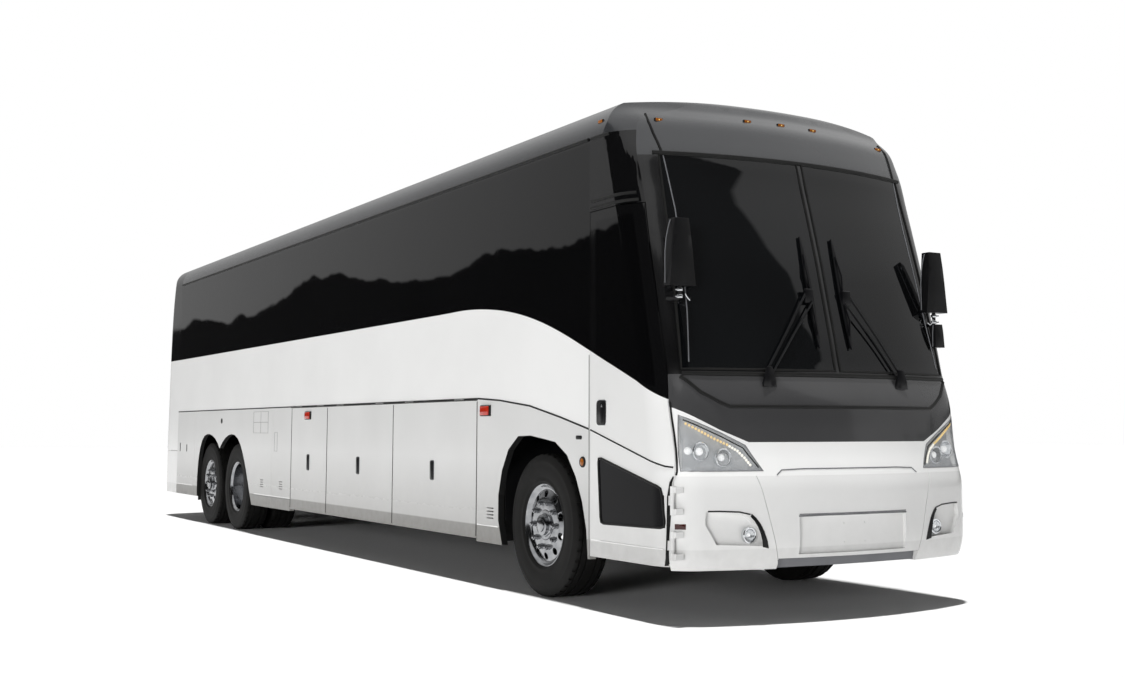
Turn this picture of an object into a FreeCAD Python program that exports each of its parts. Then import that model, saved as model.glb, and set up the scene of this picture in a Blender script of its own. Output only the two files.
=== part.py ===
import FreeCAD, Part
import os
from math import asin, cos, pi, radians, sin, sqrt

V = FreeCAD.Vector

# Three-axle highway coach, in millimetres. X points forward, Y to the left and Z up.
# The origin is on the ground under the middle of the overall length.

# Driving dimensions of the whole coach
overall_length = 13840.0
overall_width = 2590.0
overall_height = 3560.0
front_overhang = 2050.0
wheelbase = 8000.0
tag_spacing = 1220.0
half_width = overall_width / 2
front_axle_x = overall_length / 2 - front_overhang
drive_axle_x = front_axle_x - wheelbase
tag_axle_x = drive_axle_x - tag_spacing
overrun = 400.0

# Shell of the body: plan corners, walls, glass and the gaps round what opens
bow_radius = 3400.0
corner_radius = 300.0
wall = 50.0
glass_thickness = 8.0
leaf_thickness = 40.0
seam = 6.0
seat_gap = 0.3

# Heights of the seams that run round the body
skirt_z = 340.0
bumper_top_z = 930.0
trim_z = 1476.0
cowl_top_z = 1580.0
belt_z = 2200.0
screen_top_z = 3090.0
gutter_z = 3270.0
cove_z = 3500.0
cove_inset = 145.0
cove_bend_shares = (0.275, 0.59)

# Side view of the nose: (share of the overall height, share of the rake at the top)
nose_rake = 935.0
nose_shares = [(0.0955, 0.054), (0.118, 0.016), (0.146, 0.0), (0.18, 0.0), (0.2135, 0.0), (0.2415, 0.002),
               (0.267, 0.027), (0.298, 0.064), (0.3315, 0.083), (0.365, 0.094), (0.393, 0.107),
               (0.4215, 0.139), (0.4495, 0.1765), (0.4915, 0.214), (0.548, 0.265), (0.604, 0.318),
               (0.66, 0.371), (0.7165, 0.431), (0.7725, 0.493), (0.8285, 0.556), (0.8735, 0.606),
               (0.913, 0.672), (0.938, 0.723), (0.958, 0.802), (0.9775, 0.888), (1.0, 1.0)]

# Side view of the tail, at the same heights
tail_rake = 430.0
tail_shares = [0.116, 0.03, 0.0, 0.0, 0.0, 0.0, 0.005, 0.012, 0.02, 0.028, 0.035, 0.042, 0.05, 0.06,
               0.074, 0.088, 0.102, 0.13, 0.18, 0.25, 0.33, 0.43, 0.52, 0.63, 0.78, 1.0]

# Edges along the side, as distances ahead of the front axle
door_rear_ahead = 781.0
cap_seam_ahead = 1107.0
bay_edges_ahead = (-1015.0, -2788.0, -4566.0, -5732.0)
tail_seam_ahead = -10785.0
glass_rear_ahead = -10860.0
door_rear_x = front_axle_x + door_rear_ahead
cap_seam_x = front_axle_x + cap_seam_ahead
bay_edges = [front_axle_x + ahead for ahead in bay_edges_ahead]
tail_seam_x = front_axle_x + tail_seam_ahead
glass_rear_x = front_axle_x + glass_rear_ahead
nose_root_ahead = 630.0
nose_root_x = front_axle_x + nose_root_ahead

# Belt and trim lines fall towards the nose: (share of the run, share of the fall)
line_front_ahead = 1720.0
belt_run = 3500.0
belt_fall = 733.0
belt_shares = [(0.226, 0.014), (0.428, 0.138), (0.609, 0.372), (0.733, 0.589), (1.0, 1.0)]
trim_run = 2880.0
trim_fall = 497.0
trim_shares = [(0.19, 0.052), (0.365, 0.153), (0.526, 0.326), (0.675, 0.511), (1.0, 1.0)]

# Entrance doorway, and the same corner seam on the driver's side
door_bottom_z = 363.0
door_top_z = 2738.0
corner_setback_low = 290.0
corner_setback_high = 240.0
door_window_foot_z = 605.0
door_window_head_z = 950.0
door_window_side = 130.0
door_frame = 70.0
door_hinge_ahead = 1768.0
door_hinge_y = -1268.0
hinge_pin_r = 7.0
hinge_barrel_r = 14.0
hinge_play = 0.3
hinge_barrel_length = 90.0
door_hinge_heights = (500.0, 780.0)
flap_pin_r = 3.5
flap_barrel_r = 7.0
flap_hinge_length = 80.0
flap_hinge_shares = (0.2, 0.8)
hinge_gap = 1.0
engine_hinge_y = 260.0
flap_axis_z = trim_z - flap_barrel_r - hinge_gap
flap_top_z = flap_axis_z - flap_barrel_r - hinge_gap

# Windscreen and the panels below it, in the front view
screen_half_foot = 1135.0
screen_half_head = 1068.0
screen_post = 44.0
cowl_corner_y = 760.0
cowl_foot_z = 1144.0
cowl_mid_y = 944.0
cowl_mid_z = 1222.0
cowl_side_z = 1381.0
lamp_points = ((1192.0, 1318.0), (944.0, 1206.0), (784.0, 1124.0), (690.0, 962.0), (1206.0, 962.0))
lamp_depth = 120.0
lamp_places = ((922.0, 1045.0), (1062.0, 1085.0))
lamp_radius = 62.0
fog_pocket = ((1084.0, 710.0), (835.0, 688.0), (722.0, 591.0), (678.0, 490.0), (1020.0, 504.0),
              (1090.0, 630.0))
fog_depth = 34.0
fog_y = 800.0
fog_z = 560.0
fog_radius = 52.0
fog_set_in = 10.0
bumper_seam = ((744.0, 940.0), (679.0, 716.0), (598.0, 400.0), (570.0, 300.0))
bumper_foot_z = 407.0
plate_recess_half = 455.0
plate_recess_foot_z = 430.0
plate_recess_head_z = 680.0
recess_depth = 28.0

# Licence plate screws, in the recess of both bumpers
plate_screw_spacing = 178.0
plate_screw_rise = 121.0
plate_screw_radius = 3.5
plate_centre_z = 555.0

# Grooves between panels, and the slots of the vents in the side
groove_width = 5.0
groove_depth = 20.0
panel_edges_ahead = (-6415.0, -9857.0)
vent_places = ((-772.0, 530.0), (-6074.0, 560.0), (-6784.0, 560.0))
vent_length = 120.0
vent_pitch = 26.0
vent_slot = 10.0
vent_count = 4

# Marker lamps
cap_marker_places = ((998.0, 3355.0), (296.0, 3407.0), (0.0, 3412.0))
marker_length = 66.0
marker_height = 24.0
marker_stand = 9.0
cove_marker_ahead = 895.0
cove_marker_y = 1283.0
cove_marker_z = 3372.0
side_marker_ahead = -878.0
side_marker_z = 1367.0
round_marker_ahead = 689.0
round_marker_z = 1000.0
round_marker_r = 24.0

# Side windows
pane_count = 8
pane_gap = 8.0
pane_border = 55.0
pane_top_z = 3235.0

# Tyres, wheels and axles
tyre_radius = 525.0
tyre_width = 300.0
tyre_outer_y = 1250.0
wall_share = 0.8
shoulder_share = 0.95
rim_radius = 286.0
rim_flange = 303.0
rim_half = 128.0
rim_wall = 12.0
dual_spacing = 345.0
bolt_circle_r = 167.5
nut_count = 10
nut_radius = 19.0
nut_height = 30.0
hand_hole_count = 10
hand_hole_r = 27.0
hand_hole_circle_r = 226.0
hub_radius = 120.0
hub_cap_radius = 84.0
disc_face_depth = 30.0
deep_face_depth = 190.0
steer_pin_y = 930.0
steer_pin_r = 20.0
steer_pin_play = 0.3
steer_boss_r = 48.0
steer_boss_half = 75.0
beam_rise_share = 0.8
axle_z = tyre_radius
beam_radius = 70.0

# Luggage bays and floors
bay_floor_z = 430.0
plate_thickness = 30.0
post_width = 70.0
rail_depth = 60.0
deck_top_z = 1490.0
deck_thickness = 50.0
deck_front_ahead = 770.0
cab_floor_z = 1050.0
step_z = (420.0, 730.0)
step_inner_y = -300.0

# Wheel housings
front_arch_rear_ahead = -560.0
front_arch_front_ahead = 755.0
front_arch_top_z = 1163.0
front_arch_slope = 180.0
rear_arch_front_ahead = -7170.0
rear_arch_rear_ahead = -9665.0
rear_arch_dip_z = 985.0
housing_inner_y = 545.0
rear_housing_inner_y = 580.0
housing_top_z = 1200.0
housing_skin = 10.0

# Seats
seat_rows = 12
seat_pitch = 860.0
first_seat_ahead = -190.0
seat_inner_y = 300.0
seat_outer_y = 1215.0
cushion_height = 430.0
back_height = 1120.0
seat_depth = 470.0
back_lean = 130.0
back_thickness = 110.0
cushion_thickness = 120.0
driver_seat_ahead = 800.0
driver_seat_y = 620.0
driver_seat_width = 500.0

# Steering wheel
steering_ring_r = 225.0
steering_tube_r = 16.0
steering_tilt = 62.0
steering_ahead = 1395.0
steering_z = 1860.0

# Mirrors
mirror_width = 185.0
mirror_depth = 95.0
mirror_height = 425.0
mirror_ahead = 1640.0
mirror_y = 1195.0
mirror_foot_right = 2225.0
mirror_foot_left = 2085.0
mirror_arm_r = 15.0

# Rims of the headlamp openings, handles and small fittings
lamp_rim = 22.0
lamp_rim_shares = ((1.0, -1.0), (0.0, -1.0), (-0.8, -0.8), (-1.2, 1.0), (1.0, 1.0))
arch_steps = 14
skin_thickness = 6.0
handle_width = 140.0
handle_stand = 8.0
door_handle_in = 95.0
door_handle_z = 1269.0
pull_z = 878.0
pull_width = 60.0
pull_height = 150.0

# Steps, rails and what the frame carries
step_edge_y = -1225.0
step_run = 310.0
rail_rear_x = tag_axle_x - 2150.0
front_rail_y = 262.0
rail_width = 80.0
rail_foot_z = 720.0
rail_height = 140.0
cross_count = 3
spring_radius = 85.0
hub_length = 90.0
hub_cap_stand = 45.0
beam_half = 620.0
beam_drop = 90.0
final_drive_r = 190.0
fork_thickness = 36.0
engine_ahead = 800.0
engine_length = 1350.0
engine_width = 900.0
engine_foot_z = 430.0
engine_height = 900.0

# Parcel racks and dash
rack_foot_z = 2830.0
rack_width = 560.0
rack_rise = 130.0
rack_lip = 60.0
rack_height = 260.0
dash_setback = 230.0
dash_depth = 340.0
dash_top_z = 1600.0
dash_lip = 60.0
dash_half = 980.0
column_length = 330.0

# Tail
engine_door_half = 880.0
engine_door_top_z = 1900.0
rear_window_half = 950.0
rear_window_foot_z = 2280.0
rear_window_head_z = 2980.0
tail_lamp_inner_y = 960.0
tail_lamp_outer_y = 1120.0
tail_lamp_foot_z = 1010.0
tail_lamp_height = 150.0
tail_lamp_count = 4
louvre_count = 8
louvre_foot_z = 1080.0
louvre_pitch = 70.0
louvre_half = 640.0
engine_hinge_in = 30.0
engine_hinge_x = engine_hinge_in - overall_length / 2

# Mirror arms and wipers
mirror_drop = 90.0
mirror_root_y = 1140.0
wiper_foot_y = 580.0
wiper_tip_y = 180.0
wiper_tip_z = 2150.0
wiper_blade_y = 140.0
wiper_blade_foot_z = 1765.0
wiper_blade_head_z = 2550.0
wiper_stand = 22.0
wiper_boss_r = 20.0
wiper_arm_r = 9.0

parts = {}


def keep(name, shape):
    """Store one sub-part under its node name."""
    parts[name] = shape


def box(x0, x1, y0, y1, z0, z1):
    """A block between two corners."""
    return Part.makeBox(x1 - x0, y1 - y0, z1 - z0, V(x0, y0, z0))


def mirrored(shape):
    """The shape on the other side of the coach."""
    return shape.mirror(V(0, 0, 0), V(0, 1, 0))


def side_prism(points, y0, y1):
    """A side-view outline of (x, z) points, extruded across the coach from y0 to y1."""
    ring = [V(x, y0, z) for x, z in points]
    return Part.Face(Part.makePolygon(ring + ring[:1])).extrude(V(0, y1 - y0, 0))


def front_prism(points, x0, x1):
    """A front-view outline of (y, z) points, extruded along the coach from x0 to x1."""
    ring = [V(x0, y, z) for y, z in points]
    return Part.Face(Part.makePolygon(ring + ring[:1])).extrude(V(x1 - x0, 0, 0))


def rod(start, end, radius):
    """A round bar between two points."""
    return Part.makeCylinder(radius, (end - start).Length, start, end - start)


def fused(shapes):
    """Several touching shapes as one solid."""
    return shapes[0].multiFuse(shapes[1:]).removeSplitter() if len(shapes) > 1 else shapes[0]


def nose_x(z):
    """The middle of the nose at a height, read from its side view."""
    share = z / overall_height
    for (low, low_rake), (high, high_rake) in zip(nose_shares, nose_shares[1:]):
        if share <= high:
            break
    rake = low_rake + (high_rake - low_rake) * (share - low) / (high - low)
    return overall_length / 2 - rake * nose_rake


def nose_surface_x(y, z, inset=0.0):
    """The outside of the nose at a place across the coach and a height."""
    bow = bow_radius - inset
    corner = corner_radius - inset
    corner_y = half_width - inset - corner
    bow_x = nose_x(z) - inset - bow
    corner_x = bow_x + sqrt((bow - corner) ** 2 - corner_y ** 2)
    joint_y = corner_y * bow / (bow - corner)
    if abs(y) <= joint_y:
        return bow_x + sqrt(bow ** 2 - y ** 2)
    return corner_x + sqrt(max(corner ** 2 - (abs(y) - corner_y) ** 2, 0.0))


def end_curve(z, end_x, way, inset):
    """Points of one end of the body's plan at one height: a bow between two rounded corners."""
    half = half_width - inset
    bow = bow_radius - inset
    corner = corner_radius - inset
    corner_y = half - corner
    reach = sqrt((bow - corner) ** 2 - corner_y ** 2)
    turn = asin(corner_y / (bow - corner))
    middle = (turn + pi / 2) / 2
    offsets = [(reach, half), (reach + corner * cos(middle), corner_y + corner * sin(middle)),
               (bow * cos(turn), bow * sin(turn)), (bow, 0.0)]
    across = [(x, -y) for x, y in offsets] + [(x, y) for x, y in offsets[2::-1]]
    return [V(end_x + way * (x - inset - bow), y, z) for x, y in across]


def edge(start, end):
    """A straight edge between two points."""
    return Part.LineSegment(start, end).toShape()


def arcs(points):
    """Three arcs through seven points."""
    return [Part.Arc(*points[i:i + 3]).toShape() for i in (0, 2, 4)]


def end_levels(way):
    """The height and the end of the body at each level of its side view."""
    levels = []
    for (height, front), rear in zip(nose_shares, tail_shares):
        rake = front * nose_rake if way > 0 else rear * tail_rake
        levels.append((height * overall_height, way * (overall_length / 2 - rake)))
    return levels


def end_solid(way, inset=0.0):
    """One end of the body as a solid block, for cutting what fills it."""
    root_x = nose_root_x if way > 0 else tail_seam_x
    wires = []
    for z, end_x in end_levels(way):
        points = end_curve(z, end_x, way, inset)
        roots = [V(root_x, points[-1].y, z), V(root_x, points[0].y, z)]
        edges = arcs(points) + [edge(points[-1], roots[0]),
                                edge(*roots), edge(roots[1], points[0])]
        wires.append(Part.Wire(edges))
    return Part.makeLoft(wires, True, False)


def end_wall(way, thickness, root_x, lowest=0.0, highest=1.0):
    """The skin round one end of the body, from its outside in to a thickness."""
    wires = []
    for z, end_x in end_levels(way):
        if not lowest <= z / overall_height <= highest:
            continue
        outside = end_curve(z, end_x, way, 0.0)
        inside = end_curve(z, end_x, way, thickness)[::-1]
        roots = [V(root_x, p.y, z) for p in (outside[-1], inside[0], inside[-1], outside[0])]
        edges = arcs(outside) + [edge(outside[-1], roots[0])]
        edges += [edge(roots[0], roots[1]), edge(roots[1], inside[0])]
        edges += arcs(inside) + [edge(inside[-1], roots[2])]
        edges += [edge(roots[2], roots[3]), edge(roots[3], outside[0])]
        wires.append(Part.Wire(edges))
    return Part.makeLoft(wires, True, False)


def roof_section(inset, foot_z, x0, x1):
    """The body's cross-section, with its coves and crown, extruded along the coach."""
    half = half_width - inset
    shoulder_y = half_width - cove_inset - inset * cove_bend_shares[1]
    shoulder_z = cove_z - inset
    bend_y = half - (half - shoulder_y) * cove_bend_shares[0]
    bend_z = gutter_z + (shoulder_z - gutter_z) * cove_bend_shares[1]
    right = [V(x0, -half, gutter_z), V(x0, -bend_y, bend_z), V(x0, -shoulder_y, shoulder_z)]
    left = [V(x0, -p.y, p.z) for p in right[::-1]]
    crown = V(x0, 0, overall_height - inset)
    feet = [V(x0, half, foot_z), V(x0, -half, foot_z)]
    edges = [Part.Arc(*curve).toShape() for curve in (right, (right[-1], crown, left[0]), left)]
    edges += [edge(left[-1], feet[0]), edge(*feet), edge(feet[1], right[0])]
    return Part.Face(Part.Wire(edges)).extrude(V(x1 - x0, 0, 0))


def falling_line(z, run, fall, shares, rise=0.0):
    """Points of a line along the side that falls towards the nose, from its level end on."""
    front_x = front_axle_x + line_front_ahead
    start_x = front_x - run
    points = [V(start_x, 0, z + rise)]
    points += [V(start_x + run * along, 0, z + rise - fall * down) for along, down in shares]
    curve = Part.BSplineCurve()
    curve.interpolate(points)
    return curve


def under_line(z, run, fall, shares, rise=0.0):
    """All that lies under a falling line, as a prism right across the coach."""
    curve = falling_line(z, run, fall, shares, rise)
    first = curve.value(curve.FirstParameter)
    last = curve.value(curve.LastParameter)
    foot = -overrun
    level = V(-overall_length, 0, first.z)
    ahead = V(overall_length, 0, last.z - fall)
    low = [V(overall_length, 0, foot - fall), V(-overall_length, 0, foot - fall)]
    edges = [edge(level, first), curve.toShape(), edge(last, ahead),
             edge(ahead, low[0]), edge(*low),
             edge(low[1], level)]
    face = Part.Face(Part.Wire(edges))
    face.translate(V(0, -overall_width, 0))
    return face.extrude(V(0, 2 * overall_width, 0))


def corner_setback(z):
    """How far the corner seam lies behind the middle of the nose at a height."""
    share = min(max((z - door_bottom_z) / (door_top_z - door_bottom_z), 0.0), 1.0)
    return corner_setback_low + (corner_setback_high - corner_setback_low) * share


def seam_x(z):
    """The corner seam in the side view: straight runs between the heights of the body's own seams."""
    heights = [skirt_z, bumper_top_z, trim_z, belt_z, door_top_z]
    if z >= door_top_z:
        share = (z - door_top_z) / (overall_height - door_top_z)
        head_x = nose_x(door_top_z) - corner_setback(door_top_z)
        return head_x + (cap_seam_x - head_x) * share
    low = max([heights[0]] + [h for h in heights if h <= z])
    over = min(h for h in heights if h > low)
    share = max(z - low, 0.0) / (over - low)
    ends = [nose_x(h) - corner_setback(h) for h in (low, over)]
    return ends[0] + (ends[1] - ends[0]) * share


def corner_seam(shift=0.0):
    """Points of the seam at the front edge of the door, from its foot to the roof."""
    heights = [skirt_z - overrun, skirt_z, bumper_top_z, trim_z, belt_z, door_top_z, overall_height + overrun]
    return [(seam_x(z) + shift, z) for z in heights]


def ahead_of_seam(shift=0.0):
    """All that lies ahead of the corner seam, right across the coach."""
    seam_points = corner_seam(shift)
    far = overall_length
    outline = seam_points + [(far, seam_points[-1][1]), (far, seam_points[0][1])]
    return side_prism(outline, -overall_width, overall_width)


high = overall_height + overrun
low_z = skirt_z - overrun
wide = overall_width
nose_end = overall_length
nose_wall = end_wall(1, wall, nose_root_x).common(roof_section(0.0, low_z, nose_root_x, nose_end))
nose_leaf = end_wall(1, leaf_thickness, nose_root_x)
nose_glass = end_wall(1, glass_thickness, nose_root_x)
tail_wall = end_wall(-1, wall, tail_seam_x).common(roof_section(0.0, low_z, -nose_end, tail_seam_x))
nose_zone = ahead_of_seam()
lower_nose = nose_wall.common(nose_zone)
below_trim = under_line(trim_z, trim_run, trim_fall, trim_shares)


def roof_skin(x0, x1):
    """The roof and its coves, one wall thick, over a length of the coach."""
    skin = roof_section(0.0, gutter_z - wall, x0, x1)
    skin = skin.cut(roof_section(wall, gutter_z - 2 * wall, x0, x1))
    return skin.common(box(x0, x1, -wide, wide, gutter_z, high))


def roof_and_cap():
    """The roof skin between the caps, and the moulded front cap with its windscreen pillars."""
    ahead = roof_skin(nose_root_x, nose_end).common(end_solid(1, wall / 2))
    straight = roof_skin(tail_seam_x, nose_root_x)
    corners = nose_wall.common(box(nose_root_x, nose_end, -wide, wide, gutter_z, high)).cut(nose_zone)
    keep("roof_shell", fused([straight, ahead.cut(nose_zone), corners]))
    over_cowl = box(nose_root_x, nose_end, -wide, wide, cowl_top_z, high)
    cap = lower_nose.common(over_cowl)
    for opening in screen_openings():
        cap = cap.cut(opening)
    over_gutter = ahead.common(nose_zone)
    keep("front_cap", fused([cap, over_gutter]))


def screen_openings():
    """The two halves of the windscreen opening in the front view."""
    foot_z = cowl_top_z + door_frame / 2
    half_post = screen_post / 2
    halves = []
    for side in (-1, 1):
        outline = [(side * half_post, foot_z), (side * screen_half_foot, foot_z),
                   (side * screen_half_head, screen_top_z), (side * half_post, screen_top_z)]
        halves.append(front_prism(outline, front_axle_x, nose_end))
    return halves


def windscreen():
    """Two bowed panes, each let into its own half of the cap."""
    keep("windscreen", Part.makeCompound([nose_glass.common(opening) for opening in screen_openings()]))


def cowl_outline_low():
    """The lower edge of the cowl panel in the front view, from one side to the other."""
    side = [(-half_width - wall, cowl_side_z + wall), (-cowl_mid_y, cowl_mid_z), (-cowl_corner_y, cowl_foot_z)]
    return side + [(-y, z) for y, z in side[::-1]]


def lamp_outline(side):
    """The headlamp opening in the front view."""
    return [(side * y, z) for y, z in lamp_points]


def nose_panels():
    """Cowl panel, white front panel with its headlamp openings, headlamps and bumper."""
    over = [(half_width + wall, cowl_top_z), (-half_width - wall, cowl_top_z)]
    cowl_zone = front_prism(cowl_outline_low() + over, 0, nose_end)
    keep("cowl_panel", lower_nose.common(cowl_zone))
    front_zone = box(0, nose_end, -wide, wide, bumper_top_z, cowl_top_z)
    panel = lower_nose.common(front_zone).cut(cowl_zone)
    lens_skin = nose_glass.common(nose_zone)
    lamps = []
    for side in (-1, 1):
        opening = front_prism(lamp_outline(side), front_axle_x, nose_end)
        panel = panel.cut(opening)
        lamps.append(headlamp(lens_skin, opening, side))
    keep("front_panel", panel)
    keep("headlamps", Part.makeCompound(lamps))
    keep("front_bumper", front_bumper())


def headlamp(lens_skin, opening, side):
    """A lamp body with two round bowls, and the clear lens that closes it."""
    lens = lens_skin.common(opening)
    back = end_solid(1, wall - lamp_rim / 2).common(opening)
    rear_x = nose_surface_x(*lamp_places[1]) - lamp_depth
    back = back.common(box(rear_x, nose_end, -wide, wide, skirt_z, cowl_top_z)).common(nose_zone)
    for y, z in lamp_places:
        bowl_x = nose_surface_x(y, z, lamp_depth / 2)
        back = back.cut(Part.makeSphere(lamp_radius, V(bowl_x + lamp_radius / 2, side * y, z)))
    ring = lower_nose.common(opening)
    rim_outline = [(side * (y - lamp_rim * share_y), z + lamp_rim * share_z)
                   for (y, z), (share_y, share_z) in zip(lamp_points, lamp_rim_shares)]
    ring = ring.cut(front_prism(rim_outline, front_axle_x, nose_end))
    return fused([lens, ring, back])


def front_bumper():
    """The bumper with its recess for the plate, its fog lamp pockets and its screw holes."""
    bumper = lower_nose.common(box(0, nose_end, -wide, wide, low_z, bumper_top_z))
    recess = box(front_axle_x, nose_end, -plate_recess_half, plate_recess_half,
                 plate_recess_foot_z, plate_recess_head_z)
    floor = Part.makeCylinder(bow_radius - recess_depth, overall_height,
                              V(overall_length / 2 - bow_radius, 0, 0))
    bumper = bumper.cut(recess.cut(floor))
    pocket_floor = end_solid(1, fog_depth)
    groove_floor = end_solid(1, groove_depth)
    lamps = []
    for side in (-1, 1):
        pocket = front_prism([(side * y, z) for y, z in fog_pocket], front_axle_x, nose_end)
        bumper = bumper.cut(pocket.cut(pocket_floor))
        line = [(side * y, z) for y, z in bumper_seam]
        line += [(side * (y + groove_width), z) for y, z in bumper_seam[::-1]]
        bumper = bumper.cut(front_prism(line, front_axle_x, nose_end).cut(groove_floor))
        face_x = nose_surface_x(fog_y, fog_z) - fog_set_in
        face = V(face_x, side * fog_y, fog_z)
        lamps.append(rod(face - V(fog_depth, 0, 0), face, fog_radius))
    foot_half = bumper_seam[2][0]
    bumper = bumper.cut(front_prism([(-foot_half, bumper_foot_z), (foot_half, bumper_foot_z),
                                     (bumper_seam[3][0], low_z), (-bumper_seam[3][0], low_z)], 0, nose_end))
    lamp_seat = end_solid(1, fog_depth - seat_gap)
    keep("fog_lamps", Part.makeCompound([lamp.cut(lamp_seat) for lamp in lamps]))
    bumper = bumper.cut(plate_screws(overall_length / 2, -1))
    return fused([bumper] + door_hinges()[0])


def plate_screws(end_x, way):
    """Four through holes for the plate's screws at one end of the coach."""
    holes = []
    for side in (-1, 1):
        for level in (-1, 1):
            place = V(end_x - way * overrun, side * plate_screw_spacing / 2,
                      plate_centre_z + level * plate_screw_rise / 2)
            holes.append(Part.makeCylinder(plate_screw_radius, overrun * 2, place, V(way, 0, 0)))
    return Part.makeCompound(holes)


def side_walls():
    """The walls from the trim line to the gutter, with a window frame behind each pane."""
    slab = box(tail_seam_x, door_rear_x, -half_width, wall - half_width, skirt_z, gutter_z).cut(below_trim)
    ahead = box(door_rear_x, nose_end, -wide, 0, skirt_z, gutter_z)
    fore = nose_wall.common(ahead).cut(nose_zone).cut(below_trim)
    over_door = fore.common(box(door_rear_x, nose_end, -wide, 0, door_top_z + seam, gutter_z))
    pane = box(tail_seam_x, door_rear_x, -half_width, glass_thickness - half_width, skirt_z, gutter_z)
    belt = under_line(belt_z, belt_run, belt_fall, belt_shares)
    frame_belt = under_line(belt_z, belt_run, belt_fall, belt_shares, pane_border)
    glasses = [pane.common(outline).cut(belt) for outline in pane_outlines(0.0)]
    slab = slab.cut(Part.makeCompound(glasses))
    for outline in pane_outlines(pane_border):
        slab = slab.cut(outline.cut(frame_belt))
    slab = fused([slab] + all_luggage_hinges())
    keep("side_wall_right", fused([slab, over_door]))
    keep("side_glass_right", Part.makeCompound(glasses))
    driver_zone = box(door_rear_x + pane_gap, nose_end, -wide, 0, skirt_z, pane_top_z)
    driver_zone = driver_zone.cut(belt).cut(ahead_of_seam(-pane_border))
    glasses.append(nose_glass.common(driver_zone))
    keep("side_wall_left", mirrored(fused([slab, fore.cut(driver_zone)])))
    keep("side_glass_left", mirrored(Part.makeCompound(glasses)))


def pane_outlines(inset):
    """Blocks as long and high as the side panes, on the right-hand side."""
    run = (door_rear_x - glass_rear_x) / pane_count
    blocks = []
    for i in range(pane_count):
        start = glass_rear_x + i * run + pane_gap / 2 + inset
        end = glass_rear_x + (i + 1) * run - pane_gap / 2 - inset
        blocks.append(box(start, end, -wide, -half_width / 2, skirt_z, pane_top_z - inset))
    return blocks


def doorway(gap):
    """The entrance door in the side view, widened by a gap, on the right-hand side."""
    foot = low_z if gap else door_bottom_z
    top = door_top_z + gap
    rear_x = door_rear_x + seam - gap
    heights = [door_bottom_z, bumper_top_z, trim_z, belt_z, door_top_z]
    front = [(seam_x(z) - seam + gap, z) for z in heights]
    outline = [(rear_x, foot), (front[0][0], foot)] + front[1:-1] + [(front[-1][0], top), (rear_x, top)]
    return side_prism(outline, -wide, -half_width / 2)


def entrance_door():
    """The door leaf, which follows the corner of the nose, with its panes and its handle."""
    leaf = nose_leaf.common(doorway(0.0))
    rear_x = door_rear_x + seam + door_frame
    belt = under_line(belt_z, belt_run, belt_fall, belt_shares)
    upper = box(rear_x, nose_end, -wide, 0, skirt_z, door_top_z - door_frame)
    upper = upper.cut(belt).cut(ahead_of_seam(-seam - door_frame))
    front_foot = nose_x(door_window_foot_z) - corner_setback(door_window_foot_z) - door_frame
    outline = [(rear_x + door_window_side, door_window_foot_z), (front_foot, door_window_foot_z),
               (front_foot - seam, door_window_head_z - 2 * door_frame),
               (rear_x + door_window_side - door_frame / 2, door_window_head_z + door_frame)]
    lower = side_prism(outline, -wide, 0)
    glasses = [nose_glass.common(opening) for opening in (upper, lower)]
    for opening in (upper, lower):
        leaf = leaf.cut(opening)
    for z in door_hinge_heights:
        foot = V(front_axle_x + door_hinge_ahead, door_hinge_y, z - hinge_barrel_length - hinge_gap)
        length = 2 * (hinge_barrel_length + hinge_gap)
        leaf = leaf.cut(Part.makeCylinder(hinge_barrel_r + hinge_gap, length, foot))
    keep("entrance_door", fused([leaf, door_handle()] + door_hinges()[1]))
    keep("door_glass", Part.makeCompound(glasses))


def door_hinges():
    """Hinge halves ahead of the door's front edge: the fixed ones on the bumper and those of the leaf."""
    fixed = []
    turning = []
    x = front_axle_x + door_hinge_ahead
    for z in door_hinge_heights:
        for half, group in zip(hinge(hinge_pin_r, hinge_barrel_r, hinge_barrel_length), (fixed, turning)):
            half.translate(V(x, door_hinge_y, z))
            group.append(half)
        bore = Part.makeCylinder(hinge_pin_r + hinge_play, 4 * hinge_barrel_length,
                                 V(x, door_hinge_y, z - 2 * hinge_barrel_length))
        for end in (-1, 1):
            lug_z = z + end * hinge_barrel_length * 3 / 4
            fixed.append(box(x, x + 3 * hinge_barrel_r, door_hinge_y, door_hinge_y + 4 * hinge_barrel_r,
                             lug_z - hinge_barrel_length / 5, lug_z + hinge_barrel_length / 5))
        tongue = box(x - 5 * hinge_barrel_r, x, door_hinge_y - hinge_barrel_r / 2, door_hinge_y,
                     z - hinge_barrel_length / 3, z + hinge_barrel_length / 3)
        turning.append(tongue.cut(bore))
    return fixed, turning


def door_handle():
    """A recessed bezel with a flat grip, on the rear edge of the door."""
    x = door_rear_x + door_handle_in
    z = door_handle_z
    bezel = box(x, x + handle_width, -half_width - handle_stand / 2, -half_width + 2 * handle_stand,
                z, z + handle_width)
    grip = box(x + handle_width / 4, x + handle_width / 2, -half_width - handle_stand,
               -half_width, z + handle_width / 8, z + handle_width * 7 / 8)
    return bezel.fuse(grip)


def skirts():
    """The lower side panels, with wheel arches cut and the luggage bays left open."""
    slab = box(tail_seam_x, door_rear_x, -half_width, wall - half_width, skirt_z, trim_z + wall)
    bay = box(bay_edges[-1] - seam / 2, bay_edges[0] + seam / 2, -wide, 0, low_z, trim_z)
    base = slab.common(below_trim).cut(bay)
    for outline in (front_arch(), rear_arch(), panel_grooves()):
        base = base.cut(outline)
    ahead = box(door_rear_x, nose_end, -wide, 0, skirt_z, trim_z)
    fore = nose_wall.common(ahead).common(below_trim).cut(nose_zone)
    keep("skirt_right", base)
    keep("skirt_left", mirrored(fused([base, fore])))


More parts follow.
